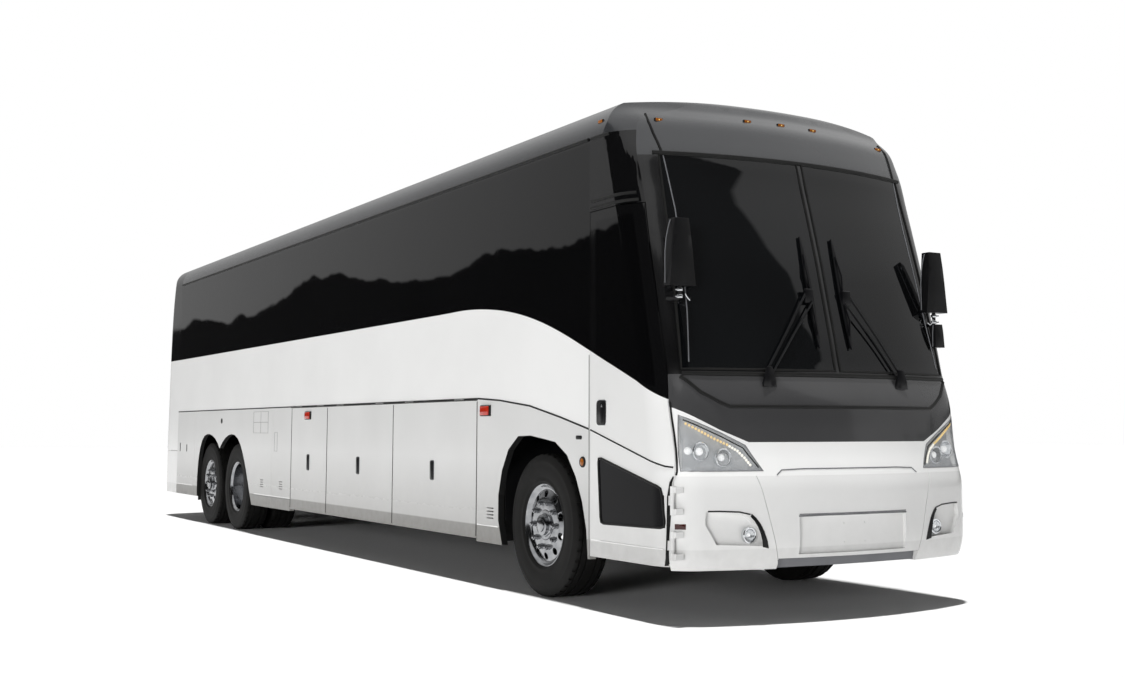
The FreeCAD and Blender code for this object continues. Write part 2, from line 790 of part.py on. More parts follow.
def panel_grooves():
    """The grooves between the service panels of the right-hand side, and the slots of its vents."""
    cuts = []
    for ahead in panel_edges_ahead:
        x = front_axle_x + ahead
        cuts.append(box(x, x + groove_width, -wide, groove_depth - half_width, low_z, high))
    for ahead, foot_z in vent_places:
        x = front_axle_x + ahead
        for i in range(vent_count):
            z = foot_z + i * vent_pitch
            cuts.append(box(x - vent_length / 2, x + vent_length / 2, -wide, 0, z, z + vent_slot))
    return Part.makeCompound(cuts)


def arch_prism(points):
    """A wheel arch in the side view, cut through the skin on the right-hand side."""
    return side_prism([(p.x, p.z) for p in points], -wide, -half_width / 2)


def front_arch():
    """The front wheel arch: upright at the rear, round over the top and sloped at the front."""
    rear = front_axle_x + front_arch_rear_ahead
    front = front_axle_x + front_arch_front_ahead
    crown = Part.BSplineCurve()
    crown.interpolate([V(rear, 0, skirt_z), V(rear + wall, 0, front_arch_top_z - 3 * wall),
                       V(rear + 4 * wall, 0, front_arch_top_z - wall / 5),
                       V(front_axle_x + wall, 0, front_arch_top_z),
                       V(front - 8 * wall, 0, front_arch_top_z - wall),
                       V(front - front_arch_slope, 0, front_arch_top_z - 5 * wall), V(front, 0, skirt_z)])
    return arch_prism([V(rear, 0, low_z)] + crown.discretize(arch_steps) + [V(front, 0, low_z)])


def rear_arch():
    """The arch over both rear axles, with a point between the two wheels."""
    rear = front_axle_x + rear_arch_rear_ahead
    front = front_axle_x + rear_arch_front_ahead
    middle = (drive_axle_x + tag_axle_x) / 2
    tag_side = Part.BSplineCurve()
    tag_side.interpolate([V(rear, 0, skirt_z), V(rear, 0, tyre_radius + 3 * wall),
                          V(tag_axle_x - 4 * wall, 0, front_arch_top_z - wall),
                          V(tag_axle_x, 0, front_arch_top_z),
                          V(middle, 0, rear_arch_dip_z)])
    drive_side = Part.BSplineCurve()
    drive_side.interpolate([V(middle, 0, rear_arch_dip_z), V(drive_axle_x, 0, front_arch_top_z),
                            V(drive_axle_x + 4 * wall, 0, front_arch_top_z - wall),
                            V(front - 9 * wall, 0, rear_arch_dip_z), V(front, 0, skirt_z)])
    curve = tag_side.discretize(arch_steps) + drive_side.discretize(arch_steps)[1:]
    return arch_prism([V(rear, 0, low_z)] + curve + [V(front, 0, low_z)])


def luggage_doors():
    """Three flap doors a side, hinged along their top edges, each with an upright pull."""
    for side, name in ((-1, "right"), (1, "left")):
        for number, (front, rear) in enumerate(zip(bay_edges, bay_edges[1:]), 1):
            leaf = luggage_leaf(rear + seam / 2, front - seam / 2)
            if side > 0:
                leaf = mirrored(leaf)
            keep("luggage_door_%s_%d" % (name, number), leaf)


def hinge(pin_radius, barrel_radius, length):
    """A hinge along Z about the origin: the fixed pin with its two end barrels, and the turning barrel."""
    fixed = Part.makeCylinder(pin_radius, 2 * length, V(0, 0, -length))
    for z in (-length, length / 2 + hinge_play):
        fixed = fixed.fuse(Part.makeCylinder(barrel_radius, length / 2 - hinge_play, V(0, 0, z)))
    turning = Part.makeCylinder(barrel_radius, length, V(0, 0, -length / 2))
    bore = Part.makeCylinder(pin_radius + hinge_play, 2 * length, V(0, 0, -length))
    return fixed.removeSplitter(), turning.cut(bore)


def luggage_hinges(x0, x1):
    """Hinge halves along the top edge of a right-hand flap: the fixed ones and the turning ones."""
    fixed = []
    turning = []
    axis_z = flap_axis_z
    for share in flap_hinge_shares:
        x = x0 + (x1 - x0) * share
        for half, group in zip(hinge(flap_pin_r, flap_barrel_r, flap_hinge_length), (fixed, turning)):
            half.rotate(V(0, 0, 0), V(0, 1, 0), 90)
            half.translate(V(x, -half_width, axis_z))
            group.append(half)
        lug_y = wall / 5 - half_width
        for end in (-1, 1):
            lug_x = x + end * flap_hinge_length * 3 / 4
            lug = box(lug_x - flap_hinge_length / 5, lug_x + flap_hinge_length / 5, -half_width, lug_y,
                      axis_z, trim_z + 2 * flap_barrel_r)
            fixed.append(lug)
        tongue = box(x - flap_hinge_length / 3, x + flap_hinge_length / 3, -half_width, lug_y,
                     axis_z - 3 * flap_barrel_r, axis_z)
        bore = rod(V(x0, -half_width, axis_z), V(x1, -half_width, axis_z), flap_pin_r + hinge_play)
        turning.append(tongue.cut(bore))
    return fixed, turning


def all_luggage_hinges():
    """The fixed hinge halves over the three right-hand flaps."""
    pieces = []
    for front, rear in zip(bay_edges, bay_edges[1:]):
        pieces += luggage_hinges(rear + seam / 2, front - seam / 2)[0]
    return pieces


def luggage_leaf(x0, x1):
    """One flap on the right-hand side: an outer skin on a frame, with hinge barrels and a pull."""
    top = flap_top_z
    leaf = box(x0, x1, -half_width, leaf_thickness - half_width, door_bottom_z, top)
    hollow = box(x0 + door_frame, x1 - door_frame,
                 skin_thickness - half_width, 2 * leaf_thickness - half_width,
                 door_bottom_z + door_frame, top - door_frame)
    rib_x = (x0 + x1) / 2
    rib = box(rib_x - door_frame, rib_x + door_frame, skin_thickness - half_width, leaf_thickness - half_width,
              door_bottom_z + door_frame, top - door_frame)
    middle = V(rib_x, -half_width, pull_z)
    cup = box(rib_x - pull_width / 2, rib_x + pull_width / 2, -wide, skin_thickness * 2 - half_width,
              pull_z - pull_height / 2, pull_z + pull_height / 2)
    grip = box(rib_x - pull_width / 5, rib_x + pull_width / 5, -half_width - handle_stand,
               skin_thickness * 2 - half_width, pull_z - pull_height / 2, pull_z + pull_height / 2)
    plain = leaf.cut(hollow).fuse(rib).cut(cup)
    return fused([plain, grip] + luggage_hinges(x0, x1)[1])


def bay_structure():
    """Bay floor, bulkheads, door posts and rails between the front and rear wheels."""
    x0 = bay_edges[-1] - seam / 2
    x1 = bay_edges[0] + seam / 2
    edge_y = half_width - leaf_thickness - seat_gap
    pieces = [box(x0, x1, -edge_y, edge_y, bay_floor_z - plate_thickness, bay_floor_z)]
    for x in (x0, x1 - post_width):
        pieces.append(box(x, x + post_width, -edge_y, edge_y, bay_floor_z, deck_top_z - deck_thickness))
    for x in bay_edges[1:-1]:
        for side in (-1, 1):
            y0, y1 = sorted((side * edge_y, side * (edge_y - rail_depth)))
            pieces.append(box(x - post_width / 2, x + post_width / 2, y0, y1,
                              bay_floor_z, deck_top_z - deck_thickness))
    for side in (-1, 1):
        y0, y1 = sorted((side * edge_y, side * (edge_y - rail_depth)))
        head_z = deck_top_z - deck_thickness
        pieces.append(box(x0, x1, y0, y1, head_z - rail_depth, head_z))
        pieces.append(box(x0, x1, y0, y1, bay_floor_z - rail_depth, bay_floor_z))
    keep("bay_structure", fused(pieces))


def floors():
    """Passenger deck, lower cab floor and the entrance steps."""
    inner = half_width - wall
    deck_x = front_axle_x + deck_front_ahead
    deck = box(tail_seam_x, deck_x, -inner, inner, deck_top_z - deck_thickness, deck_top_z)
    front_x = nose_x(cab_floor_z) - corner_setback_low - 4 * wall
    riser = box(deck_x - plate_thickness, deck_x, -inner, inner, cab_floor_z - plate_thickness,
                deck_top_z - deck_thickness)
    cab = box(deck_x - plate_thickness, front_x, step_inner_y, inner,
              cab_floor_z - plate_thickness, cab_floor_z)
    steps = []
    rear_x = deck_x
    for level, z in enumerate(step_z):
        edge_y = step_edge_y + level * step_run
        steps.append(box(rear_x, front_x, edge_y, step_inner_y, z - plate_thickness, z))
        top = step_z[level + 1] if level + 1 < len(step_z) else cab_floor_z
        rise_y = edge_y + step_run if level + 1 < len(step_z) else step_inner_y
        steps.append(box(rear_x, front_x, rise_y, rise_y + plate_thickness, z - plate_thickness, top))
    back = box(deck_x - plate_thickness, deck_x, step_edge_y, step_inner_y + plate_thickness,
               step_z[0] - plate_thickness, cab_floor_z)
    keep("floor_deck", fused([deck, riser, cab, back] + steps))


def wheel_housings():
    """The boxes over the wheels, open below and towards the outside."""
    inner = half_width - wall
    spans = [(front_axle_x + front_arch_rear_ahead - wall, front_axle_x + deck_front_ahead - plate_thickness,
              housing_inner_y),
             (tag_axle_x - tyre_radius - 2 * wall, front_axle_x + rear_arch_front_ahead + wall,
              rear_housing_inner_y)]
    ways = []
    for x, z, half in ((front_axle_x, axle_z, steer_boss_r), (drive_axle_x, axle_z, beam_radius),
                       (tag_axle_x, axle_z, beam_radius)):
        ways.append(box(x - half - seam, x + half + seam, -wide, wide, low_z, z + half + seam))
    pieces = []
    for x0, x1, inner_y in spans:
        block = box(x0, x1, -inner, -inner_y, axle_z, housing_top_z)
        hollow = box(x0 + housing_skin, x1 - housing_skin, -wide, -inner_y - housing_skin,
                     low_z, housing_top_z - housing_skin)
        housing = block.cut(hollow).cut(Part.makeCompound(ways))
        pieces += [housing, mirrored(housing)]
    keep("wheel_housings", Part.makeCompound(pieces))


def frame_rails():
    """The pairs of rails, with their cross members, that carry the front and rear axles."""
    engine_x = tag_axle_x - engine_ahead
    rear_y = engine_width / 2 + rail_width
    front = [bay_edges[0] + seam / 2, nose_x(bumper_top_z) - 4 * wall]
    rear = [engine_x, bay_edges[-1] - seam / 2]
    pieces = []
    for (x0, x1), outer_y, foot_x in ((front, front_rail_y, front[0]), (rear, rear_y, rail_rear_x)):
        bars = []
        for side in (-1, 1):
            y0, y1 = sorted((side * outer_y, side * (outer_y - rail_width)))
            bars.append(box(foot_x, x1, y0, y1, rail_foot_z, rail_foot_z + rail_height))
        for i in range(cross_count):
            x = x0 + (x1 - x0 - rail_width) * i / (cross_count - 1)
            bars.append(box(x, x + rail_width, -outer_y, outer_y, rail_foot_z, rail_foot_z + rail_height))
        pieces.append(fused(bars))
    keep("chassis_frame", Part.makeCompound(pieces))


def air_springs():
    """Rubber bellows between the axles and the rails above them."""
    rear_y = engine_width / 2 + rail_width / 2
    front_y = front_rail_y - rail_width / 2
    places = [(front_axle_x, front_y, axle_z - beam_drop + steer_boss_r),
              (drive_axle_x, rear_y, axle_z + beam_radius),
              (tag_axle_x, rear_y, axle_z + beam_radius)]
    springs = []
    for x, y, foot_z in places:
        height = rail_foot_z - foot_z
        for side in (-1, 1):
            foot = V(x, side * y, foot_z - seat_gap)
            spring = Part.makeCylinder(spring_radius / 2, height + seat_gap, foot)
            band = Part.makeCylinder(spring_radius, height / 2, foot + V(0, 0, height / 2))
            rounding = height / 5
            springs.append(spring.fuse(band.makeFillet(rounding, band.Edges)).removeSplitter())
    keep("air_springs", Part.makeCompound(springs).cut(axle_tubes()))


def axle_tubes():
    """The round tubes that the springs stand on."""
    low = V(front_axle_x, -beam_half, axle_z - beam_drop)
    tubes = [rod(low, low + V(0, 2 * beam_half, 0), steer_boss_r)]
    for x in (drive_axle_x, tag_axle_x):
        tubes.append(rod(V(x, -half_width, axle_z), V(x, half_width, axle_z), beam_radius))
    return Part.makeCompound(tubes)


def tyre(inner_y):
    """One tyre on the right-hand side, turned from its half section, with its inner face at a given y."""
    half = tyre_width / 2
    play = hinge_play
    side = [(rim_radius + play, rim_half - 2 * rim_wall - play),
            (rim_flange + play, rim_half - rim_wall - play),
            (rim_flange + play, rim_half), (tyre_radius * wall_share, half),
            (tyre_radius * shoulder_share, half - rim_wall), (tyre_radius, half - 3 * rim_wall)]
    section = side + [(r, -y) for r, y in side[::-1]]
    ring = [V(r, y, 0) for r, y in section]
    solid = Part.Face(Part.makePolygon(ring + ring[:1])).revolve(V(0, 0, 0), V(0, 1, 0), 360)
    solid.translate(V(0, inner_y - half, axle_z))
    return solid


def rim(face_depth):
    """A disc wheel on the right-hand side, its outer face a given depth inside the flange."""
    face_y = face_depth - rim_half
    outer = [(rim_radius, rim_half - 2 * rim_wall), (rim_flange, rim_half - rim_wall), (rim_flange, rim_half),
             (rim_radius - rim_wall, rim_half), (rim_radius - rim_wall, face_y + 3 * rim_wall),
             (hand_hole_circle_r, face_y + 2 * rim_wall), (bolt_circle_r + nut_radius, face_y + rim_wall),
             (hub_cap_radius, face_y + rim_wall), (0, face_y + rim_wall), (0, face_y),
             (bolt_circle_r + nut_radius, face_y), (hand_hole_circle_r, face_y + rim_wall / 2),
             (rim_radius - 2 * rim_wall, face_y + rim_wall), (rim_radius - rim_wall, -rim_half),
             (rim_flange, -rim_half), (rim_flange, -rim_half + rim_wall),
             (rim_radius, -rim_half + 2 * rim_wall)]
    ring = [V(r, y, 0) for r, y in outer]
    solid = Part.Face(Part.makePolygon(ring + ring[:1])).revolve(V(0, 0, 0), V(0, 1, 0), 360)
    for i in range(hand_hole_count):
        angle = 2 * pi * (i + 1 / 2) / hand_hole_count
        place = V(hand_hole_circle_r * cos(angle), -tyre_width, hand_hole_circle_r * sin(angle))
        solid = solid.cut(Part.makeCylinder(hand_hole_r, 2 * tyre_width, place, V(0, 1, 0)))
    nuts = [Part.makeCylinder(hub_cap_radius, hub_cap_stand, V(0, face_y - hub_cap_stand, 0), V(0, 1, 0))]
    for i in range(nut_count):
        angle = 2 * pi * i / nut_count
        place = V(bolt_circle_r * cos(angle), face_y - nut_height, bolt_circle_r * sin(angle))
        corners = [V(nut_radius * cos(pi * k / 3), 0, nut_radius * sin(pi * k / 3)) for k in range(7)]
        nut = Part.Face(Part.makePolygon(corners)).extrude(V(0, nut_height, 0))
        nut.translate(place)
        nuts.append(nut)
    return solid.multiFuse(nuts).removeSplitter()


def wheels():
    """Tyres and rims: single on the front and tag axles, twin on the drive axle."""
    centre_y = tyre_width / 2 - tyre_outer_y
    for name, x in (("front", front_axle_x), ("drive", drive_axle_x), ("tag", tag_axle_x)):
        twin = name == "drive"
        disc = rim(deep_face_depth if twin else disc_face_depth)
        disc.translate(V(x, centre_y, axle_z))
        hub_y = centre_y + (deep_face_depth if twin else disc_face_depth) - rim_half + rim_wall
        back_y = centre_y + hub_length + (dual_spacing if twin else 0)
        hub = Part.makeCylinder(hub_radius, back_y - hub_y, V(x, hub_y, axle_z), V(0, 1, 0))
        tyres = [tyre(centre_y + tyre_width / 2)]
        solids = [disc, hub]
        if twin:
            inner = rim(2 * rim_half - deep_face_depth)
            inner.translate(V(x, centre_y + dual_spacing, axle_z))
            tyres.append(tyre(centre_y + tyre_width / 2 + dual_spacing))
            solids.append(inner)
        for solid in tyres:
            solid.translate(V(x, 0, 0))
        wheel = fused(solids)
        rubber = Part.makeCompound(tyres)
        for side_name, flip in (("right", False), ("left", True)):
            keep("wheel_%s_%s" % (name, side_name), mirrored(wheel) if flip else wheel)
            keep("tyre_%s_%s" % (name, side_name), mirrored(rubber) if flip else rubber)


def axles():
    """Front beam with its steering bosses, the driven axle with its final drive, and the tag beam."""
    centre_y = half_width - (half_width - tyre_outer_y) - tyre_width / 2
    boss_foot = V(front_axle_x, -steer_pin_y, axle_z - steer_boss_half)
    boss = Part.makeCylinder(steer_boss_r, 2 * steer_boss_half, boss_foot)
    bore = Part.makeCylinder(steer_pin_r + steer_pin_play, 4 * steer_boss_half,
                             V(front_axle_x, -steer_pin_y, axle_z - 2 * steer_boss_half))
    drop = V(front_axle_x, beam_half, axle_z - beam_drop)
    beam_mid = rod(V(front_axle_x, -beam_half, drop.z), drop, steer_boss_r)
    rises = []
    for side in (-1, 1):
        root = V(front_axle_x, side * (beam_half - steer_boss_r / 2), drop.z)
        tip = V(front_axle_x, side * steer_pin_y, axle_z - steer_boss_half / 4)
        rises.append(rod(root, tip, steer_boss_r * beam_rise_share))
    beam = fused([beam_mid, boss, mirrored(boss)] + rises).cut(bore).cut(mirrored(bore))
    keep("front_axle", beam)
    twin_y = centre_y - dual_spacing - hub_length - seat_gap
    tag_y = centre_y - hub_length - seat_gap
    bulge = Part.makeSphere(final_drive_r, V(drive_axle_x, 0, axle_z))
    tube = rod(V(drive_axle_x, -twin_y, axle_z), V(drive_axle_x, twin_y, axle_z), beam_radius)
    driven = fused([tube, bulge])
    tag = rod(V(tag_axle_x, -tag_y, axle_z), V(tag_axle_x, tag_y, axle_z), beam_radius)
    keep("rear_axles", Part.makeCompound([driven, tag]))


def knuckles():
    """Steering knuckles: a fork on the pin, and the disc that the wheel's hub turns against."""
    centre_y = tyre_outer_y - tyre_width / 2
    hub_y = -(centre_y - hub_length) + seat_gap
    gap = steer_boss_half + seat_gap
    low = V(front_axle_x, -steer_pin_y, axle_z - gap - fork_thickness)
    pin = Part.makeCylinder(steer_pin_r, 2 * (gap + fork_thickness), low)
    arms = []
    for z in (axle_z + gap, axle_z - gap - fork_thickness):
        arms.append(Part.makeCylinder(steer_boss_r, fork_thickness, V(front_axle_x, -steer_pin_y, z)))
        arms.append(box(front_axle_x - steer_boss_r, front_axle_x + steer_boss_r, hub_y, -steer_pin_y,
                        z, z + fork_thickness))
    hub = V(front_axle_x, hub_y, axle_z)
    disc = Part.makeCylinder(gap + fork_thickness, fork_thickness / 2, hub, V(0, 1, 0))
    knuckle = fused([pin, disc] + arms)
    keep("knuckle_right", knuckle)
    keep("knuckle_left", mirrored(knuckle))


def seats():
    """Twin passenger seats in rows on both sides, and the driver's seat on the cab floor."""
    pieces = []
    for row in range(seat_rows):
        x = front_axle_x + first_seat_ahead - row * seat_pitch
        seat = seat_solid(x, deck_top_z, -seat_outer_y, -seat_inner_y)
        pieces += [seat, mirrored(seat)]
    driver = seat_solid(front_axle_x + driver_seat_ahead + seat_depth, cab_floor_z,
                        driver_seat_y - driver_seat_width / 2, driver_seat_y + driver_seat_width / 2)
    keep("passenger_seats", Part.makeCompound(pieces))
    keep("driver_seat", driver)


def seat_solid(x, floor_z, y0, y1):
    """One seat from its side view: a foot, a cushion and a back that leans to the rear."""
    top = floor_z + cushion_height
    back_x = x - seat_depth
    outline = [(x - seat_depth / 3, floor_z), (x - seat_depth / 3, top - cushion_thickness),
               (x, top - cushion_thickness * 3 / 4), (x, top),
               (back_x + back_thickness, top - cushion_thickness / 5),
               (back_x + back_thickness - back_lean, floor_z + back_height),
               (back_x - back_lean, floor_z + back_height), (back_x, top - cushion_thickness),
               (x - seat_depth * 2 / 3, top - cushion_thickness), (x - seat_depth * 2 / 3, floor_z)]
    return side_prism(outline, y0, y1)


def racks():
    """Parcel racks along both sides under the roof."""
    inner = half_width - wall
    outline = [(-inner, rack_foot_z), (-inner + rack_width, rack_foot_z + rack_rise),
               (-inner + rack_width, rack_foot_z + rack_rise + rack_lip), (-inner, rack_foot_z + rack_height)]
    rack = front_prism(outline, tail_seam_x, front_axle_x + deck_front_ahead)
    keep("parcel_racks", Part.makeCompound([rack, mirrored(rack)]))


def dashboard():
    """The dash under the windscreen, with the column that carries the steering wheel."""
    x1 = nose_x(cowl_top_z) - dash_setback
    outline = [(x1 - dash_depth, cab_floor_z), (x1, cab_floor_z), (x1, dash_top_z - dash_lip),
               (x1 - dash_depth / 2, dash_top_z), (x1 - dash_depth, dash_top_z - dash_lip)]
    body = side_prism(outline, step_inner_y, dash_half)
    centre = V(front_axle_x + steering_ahead, driver_seat_y, steering_z)
    tilt = radians(steering_tilt)
    way = V(cos(tilt), 0, -sin(tilt))
    column_r = 2 * steering_tube_r
    column = rod(centre + way * (column_r + seat_gap), centre + way * column_length, column_r)
    keep("dashboard", body.fuse(column).removeSplitter())
    ring = Part.makeTorus(steering_ring_r, steering_tube_r, centre, way)
    hub = Part.makeCylinder(steering_ring_r / 4, 2 * steering_tube_r, centre, way)
    spokes = []
    for turn in (0, 120, 240):
        spoke = rod(centre + V(0, steering_ring_r / 6, 0), centre + V(0, steering_ring_r, 0),
                    steering_tube_r / 2)
        spoke.translate(way * steering_tube_r)
        spoke.rotate(centre, way, turn)
        spokes.append(spoke)
    keep("steering_wheel", fused([ring, hub] + spokes))


def engine():
    """The engine and its gearbox as one block in the tail."""
    x1 = tag_axle_x - engine_ahead
    keep("engine_block", box(x1 - engine_length, x1, -engine_width / 2, engine_width / 2,
                             engine_foot_z, engine_foot_z + engine_height))


def tail_panels():
    """The tail: upper shell with its window, engine door, lamps and bumper."""
    top_skin = roof_skin(-nose_end, tail_seam_x).common(end_solid(-1, wall / 2))
    door_zone = box(-nose_end, tail_seam_x, -engine_door_half, engine_door_half,
                    bumper_top_z, engine_door_top_z)
    door_gap = box(-nose_end, tail_seam_x, -engine_door_half - seam, engine_door_half + seam,
                   bumper_top_z - seam, engine_door_top_z + 2 * (hinge_barrel_r + hinge_gap))
    window = box(-nose_end, tail_seam_x - 2 * overrun, -rear_window_half, rear_window_half,
                 rear_window_foot_z, rear_window_head_z)
    upper = tail_wall.common(box(-nose_end, tail_seam_x, -wide, wide, bumper_top_z, high))
    bumper = tail_wall.common(box(-nose_end, tail_seam_x, -wide, wide, low_z, bumper_top_z - seam))
    lamps = []
    for side in (-1, 1):
        y0, y1 = sorted((side * tail_lamp_inner_y, side * tail_lamp_outer_y))
        for i in range(tail_lamp_count):
            z0 = tail_lamp_foot_z + i * (tail_lamp_height + seam)
            lamps.append(box(-nose_end, tail_seam_x - overrun, y0, y1, z0, z0 + tail_lamp_height))
    lamp_hole = Part.makeCompound(lamps)
    keep("tail_lamps", Part.makeCompound([upper.common(lamp) for lamp in lamps]))
    keep("rear_glass", end_wall(-1, glass_thickness, tail_seam_x).common(window))
    fixed, turning = engine_hinges()
    shell = fused([upper, top_skin]).cut(door_gap).cut(window).cut(lamp_hole)
    keep("rear_shell", fused([shell] + fixed))
    door = tail_wall.common(door_zone)
    for i in range(louvre_count):
        z = louvre_foot_z + i * louvre_pitch
        door = door.cut(box(-nose_end, tail_seam_x - overrun, -louvre_half, louvre_half,
                            z, z + louvre_pitch / 2))
    keep("engine_door", fused([door] + turning))
    keep("rear_bumper", bumper.cut(plate_screws(-overall_length / 2, 1)))


def engine_hinges():
    """Hinge halves over the engine door: the fixed ones of the tail and those of the door."""
    fixed = []
    turning = []
    axis_z = engine_door_top_z + hinge_barrel_r + hinge_gap
    for side in (-1, 1):
        place = V(engine_hinge_x, side * engine_hinge_y, axis_z)
        for half, group in zip(hinge(hinge_pin_r, hinge_barrel_r, hinge_barrel_length), (fixed, turning)):
            half.rotate(V(0, 0, 0), V(1, 0, 0), 90)
            half.translate(place)
            group.append(half)
        bore = rod(place - V(0, 2 * hinge_barrel_length, 0), place + V(0, 2 * hinge_barrel_length, 0),
                   hinge_pin_r + hinge_play)
        inner_x = engine_hinge_x + wall
        for end in (-1, 1):
            lug_y = place.y + end * hinge_barrel_length * 3 / 4
            fixed.append(box(engine_hinge_x, inner_x, lug_y - hinge_barrel_length / 5,
                             lug_y + hinge_barrel_length / 5, axis_z, axis_z + 3 * hinge_barrel_r))
        half = hinge_barrel_length / 3
        tongue = box(engine_hinge_x, inner_x, place.y - half, place.y + half,
                     axis_z - 3 * hinge_barrel_r, axis_z)
        turning.append(tongue.cut(bore))
    return fixed, turning


def mirrors():
    """Two mirror heads on arms from the windscreen pillars, each with a small round-topped head below."""
    pieces = []
    for side, foot_z in ((-1, mirror_foot_right), (1, mirror_foot_left)):
        x = front_axle_x + mirror_ahead
        y = side * mirror_y
        head = box(x - mirror_depth / 2, x + mirror_depth / 2, y - mirror_width / 2, y + mirror_width / 2,
                   foot_z, foot_z + mirror_height)
        head = head.makeFillet(mirror_depth / 3, head.Edges)
        low = V(x, y, foot_z - mirror_drop)
        post = rod(V(x, y, foot_z + mirror_arm_r), low, mirror_arm_r)
        root_z = foot_z - mirror_drop
        root_y = side * mirror_root_y
        root = V(nose_surface_x(root_y, root_z) - wall / 4, root_y, root_z)
        arm = rod(low, root, mirror_arm_r)
        knob = Part.makeSphere(mirror_arm_r, low)
        pieces.append(fused([head, post, knob, arm]).cut(lower_nose))
    keep("mirrors", Part.makeCompound(pieces))


def marker_lamps():
    """Amber lamps along the brow of the cap, on the coves and on the sides."""
    lamps = []
    for y, z in cap_marker_places:
        x = nose_surface_x(y, z)
        lamp = box(x - wall / 2, x + marker_stand, y - marker_length / 2, y + marker_length / 2,
                   z - marker_height / 2, z + marker_height / 2)
        lamp = lamp.makeFillet(marker_height / 4, lamp.Edges).cut(parts["front_cap"])
        lamps += [lamp, mirrored(lamp)] if y else [lamp]
    x = front_axle_x + cove_marker_ahead
    cove = box(x - marker_length / 2, x + marker_length / 2, -cove_marker_y, wall / 2 - cove_marker_y,
               cove_marker_z - marker_height / 2, cove_marker_z + marker_height / 2).cut(parts["roof_shell"])
    x = front_axle_x + side_marker_ahead
    side = box(x - marker_length / 2, x + marker_length / 2, -half_width - marker_stand, -half_width,
               side_marker_z - marker_height / 2, side_marker_z + marker_height)
    place = V(front_axle_x + round_marker_ahead, -half_width, round_marker_z)
    button = rod(place, place - V(0, marker_stand, 0), round_marker_r)
    for lamp in (cove, side, button):
        lamps += [lamp, mirrored(lamp)]
    keep("marker_lamps", Part.makeCompound(lamps))


def wipers():
    """Two wipers: a spindle boss on the cowl, an arm over the glass and an upright blade."""
    pieces = []
    for side in (-1, 1):
        foot = on_screen(side * wiper_foot_y, cowl_top_z - wall, wiper_stand)
        root = on_screen(side * wiper_foot_y, cowl_top_z - wall, 0.0)
        tip = on_screen(side * wiper_tip_y, wiper_tip_z, wiper_stand * 2)
        low = on_screen(side * wiper_blade_y, wiper_blade_foot_z, wiper_stand)
        top = on_screen(side * wiper_blade_y, wiper_blade_head_z, wiper_stand)
        middle = (low + top) * (1 / 2)
        boss = rod(root + V(seat_gap, 0, 0), foot, wiper_boss_r)
        arm = rod(foot, middle, wiper_arm_r)
        blade = rod(low, top, wiper_arm_r)
        pieces.append(fused([boss, arm, blade, Part.makeSphere(wiper_arm_r * 2, middle)]).cut(lower_nose))
    keep("wipers", Part.makeCompound(pieces))


def on_screen(y, z, stand):
    """A point a little way ahead of the nose at a place across the coach and a height."""
    return V(nose_surface_x(y, z) + stand, y, z)


roof_and_cap()
windscreen()
nose_panels()
side_walls()
entrance_door()
skirts()
luggage_doors()
bay_structure()
floors()
wheel_housings()
frame_rails()
air_springs()
wheels()
axles()
knuckles()
seats()
racks()
dashboard()
engine()
tail_panels()
mirrors()
marker_lamps()
wipers()

os.makedirs("parts", exist_ok=True)
for node, shape in parts.items():
    shape.exportStep("parts/" + node + ".step")
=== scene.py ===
# %% [markdown]
# # A three-axle highway coach
# The shape of the coach comes packed from its CAD source, as one mesh for each part, and this
# lesson dresses it. First come the camera, the floor and the light, then the finishes, and then
# the pieces that are too fine for the CAD model: tyre treads, gaskets, lamps, wipers and seats.
# Everything is in metres. X points forward, Y to the left and Z up, with the ground at zero.

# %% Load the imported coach
import math

import bpy
from mathutils import Matrix, Vector
from mathutils.bvhtree import BVHTree


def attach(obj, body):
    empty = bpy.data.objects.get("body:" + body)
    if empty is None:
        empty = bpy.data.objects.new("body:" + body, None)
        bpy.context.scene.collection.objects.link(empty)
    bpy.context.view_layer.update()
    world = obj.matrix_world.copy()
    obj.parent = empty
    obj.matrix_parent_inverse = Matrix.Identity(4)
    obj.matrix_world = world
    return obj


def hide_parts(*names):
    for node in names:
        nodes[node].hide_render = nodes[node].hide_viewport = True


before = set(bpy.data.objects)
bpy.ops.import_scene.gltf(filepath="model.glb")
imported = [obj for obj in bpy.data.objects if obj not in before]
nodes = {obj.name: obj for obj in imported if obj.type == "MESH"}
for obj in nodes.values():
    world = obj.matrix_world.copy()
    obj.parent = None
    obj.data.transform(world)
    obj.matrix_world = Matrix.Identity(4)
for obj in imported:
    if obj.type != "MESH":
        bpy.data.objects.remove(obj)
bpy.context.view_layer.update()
bpy.ops.object.select_all(action="DESELECT")
sides, axles = ("right", "left"), ("front", "drive", "tag")

# %% [markdown]
# ## The camera
# The photographer stood close to the front right corner, with the lens at chest height and tipped
# up a little. A camera's own axes look down its -Z, so it is first stood up by a quarter turn and
# then turned to its heading. A small shift moves the frame without changing the perspective.

# %% Place the camera
camera_place = (13.891, -6.0793, 1.2273)
camera_heading = math.radians(149.054)
camera_rise = math.radians(5.7387)
quarter_turn = math.pi / 2

bpy.ops.object.camera_add(location=camera_place,
                          rotation=(quarter_turn + camera_rise, 0, camera_heading - quarter_turn))
camera = bpy.context.object
camera.name = "photo_camera"
camera.data.lens = 43.872
camera.data.shift_x = -0.0414
camera.data.shift_y = -0.0419
camera.data.clip_end = 400
bpy.context.scene.camera = camera
bpy.context.scene.view_settings.view_transform = "Standard"
print("camera at", [round(c, 2) for c in camera.location])

# %% [markdown]
# ## Colours and nodes
# Paint makers give a colour as a hex value, which is in sRGB, while the renderer counts light in
# linear values, so one function turns the first into the second. The others add nodes. A value
# that is a socket is linked in and any other is set, so a finish reads as what feeds what.

